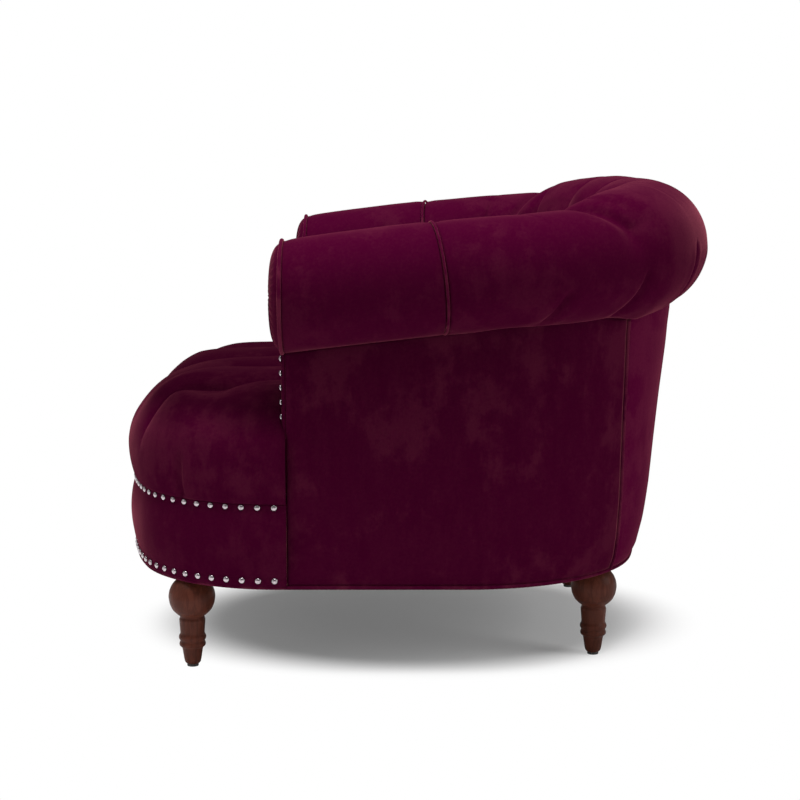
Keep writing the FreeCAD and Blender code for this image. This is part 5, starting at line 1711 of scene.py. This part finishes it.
class ARMCHAIR_OT_stage(bpy.types.Operator):
    """Floor, soft lights and the camera"""

    bl_idname = "armchair.stage"
    bl_label = "Stage"

    def execute(self, context):
        scene = context.scene
        scene.view_settings.view_transform = "Standard"
        turn = np.linspace(0, 2 * math.pi, FLOOR_SIDES, endpoint=False)
        ring = [(FLOOR_RADIUS * math.cos(a), FLOOR_RADIUS * math.sin(a), 0.0) for a in turn]
        floor = new_object("floor", ring, [list(range(FLOOR_SIDES))])
        floor.data.materials.append(plain_finish("Pale floor"))
        self.whiten(plain_finish("Pale floor").node_tree)
        self.surroundings(scene)
        for name, values in LIGHTS.items():
            area_light(name, *values)
        self.camera(scene)
        return {"FINISHED"}

    def surroundings(self, scene):
        """A white world that lights the chair softly and that the camera sees as plain white."""
        world = bpy.data.worlds.new("Soft white")
        scene.world = world
        world.use_nodes = True
        tree = world.node_tree
        path = add(tree, "ShaderNodeLightPath").outputs
        seen = math_node(tree, "MAXIMUM", path["Is Camera Ray"], path["Is Transmission Ray"])
        strength = stretch(tree, seen, 0.0, 1.0, 0.35, 1.0)
        feed(tree, tree.nodes["Background"], {"Color": (1.0, 1.0, 1.0, 1.0), "Strength": strength})

    def whiten(self, tree):
        """Lets the camera see the floor as plain white away from the chair's own shadow, and lightens that
        shadow with a faint painted glow.
        """
        place = add(tree, "ShaderNodeTexCoord").outputs["Object"]
        shape = scaled(tree, place, (1 / SHADOW_HALF_SIZE[0], 1 / SHADOW_HALF_SIZE[1], 1.0))
        reach = add(tree, "ShaderNodeVectorMath", {0: shape}, operation="LENGTH").outputs["Value"]
        limits = (SHADOW_FROM, SHADOW_TO, SHADOW_PAINTED_GLOW, 1.0)
        away = stretch(tree, reach, *limits, interpolation_type="SMOOTHSTEP")
        ray = add(tree, "ShaderNodeLightPath").outputs["Is Camera Ray"]
        amount = math_node(tree, "MULTIPLY", away, ray)
        lit = tree.nodes["Principled BSDF"].outputs[0]
        white = add(tree, "ShaderNodeEmission").outputs[0]
        mixed = add(tree, "ShaderNodeMixShader", {0: amount, 1: lit, 2: white}).outputs[0]
        feed(tree, tree.nodes["Material Output"], {"Surface": mixed})

    def camera(self, scene):
        data = bpy.data.cameras.new("Camera")
        data.sensor_width = 36.0
        data.lens = CAMERA_LENS
        camera = linked("Camera", data)
        camera.location = CAMERA_PLACE
        camera.rotation_euler = (math.radians(90 - CAMERA_DROP), 0.0, math.radians(90))
        scene.camera = camera


class ARMCHAIR_PT_panel(bpy.types.Panel):
    bl_label = "Armchair"
    bl_idname = "ARMCHAIR_PT_panel"
    bl_space_type = "VIEW_3D"
    bl_region_type = "UI"
    bl_category = "Armchair"

    def draw(self, context):
        for group in GROUPS:
            settings = getattr(context.scene, group)
            box = self.layout.box()
            for name in settings.__annotations__:
                box.prop(settings, name)
        for operator in OPERATORS:
            self.layout.operator(operator.bl_idname)


OPERATORS = (
    ARMCHAIR_OT_back_cover,
    ARMCHAIR_OT_arm_covers,
    ARMCHAIR_OT_seat_cover,
    ARMCHAIR_OT_outside_covers,
    ARMCHAIR_OT_front_band,
    ARMCHAIR_OT_arm_fronts,
    ARMCHAIR_OT_buttons,
    ARMCHAIR_OT_piping,
    ARMCHAIR_OT_nails,
    ARMCHAIR_OT_legs,
    ARMCHAIR_OT_inner_parts,
    ARMCHAIR_OT_stage,
)
GROUPS = {
    "armchair_covers": ArmchairCovers,
    "armchair_trim": ArmchairTrim,
    "armchair_finish": ArmchairFinish,
}


def register():
    for name, group in GROUPS.items():
        bpy.utils.register_class(group)
        setattr(bpy.types.Scene, name, PointerProperty(type=group))
    for operator in OPERATORS:
        bpy.utils.register_class(operator)
    bpy.utils.register_class(ARMCHAIR_PT_panel)


def unregister():
    bpy.utils.unregister_class(ARMCHAIR_PT_panel)
    for operator in reversed(OPERATORS):
        bpy.utils.unregister_class(operator)
    for name, group in GROUPS.items():
        delattr(bpy.types.Scene, name)
        bpy.utils.unregister_class(group)


def main():
    register()
    for operator in OPERATORS:
        space, name = operator.bl_idname.split(".")
        getattr(getattr(bpy.ops, space), name)()


if __name__ == "__main__":
    main()
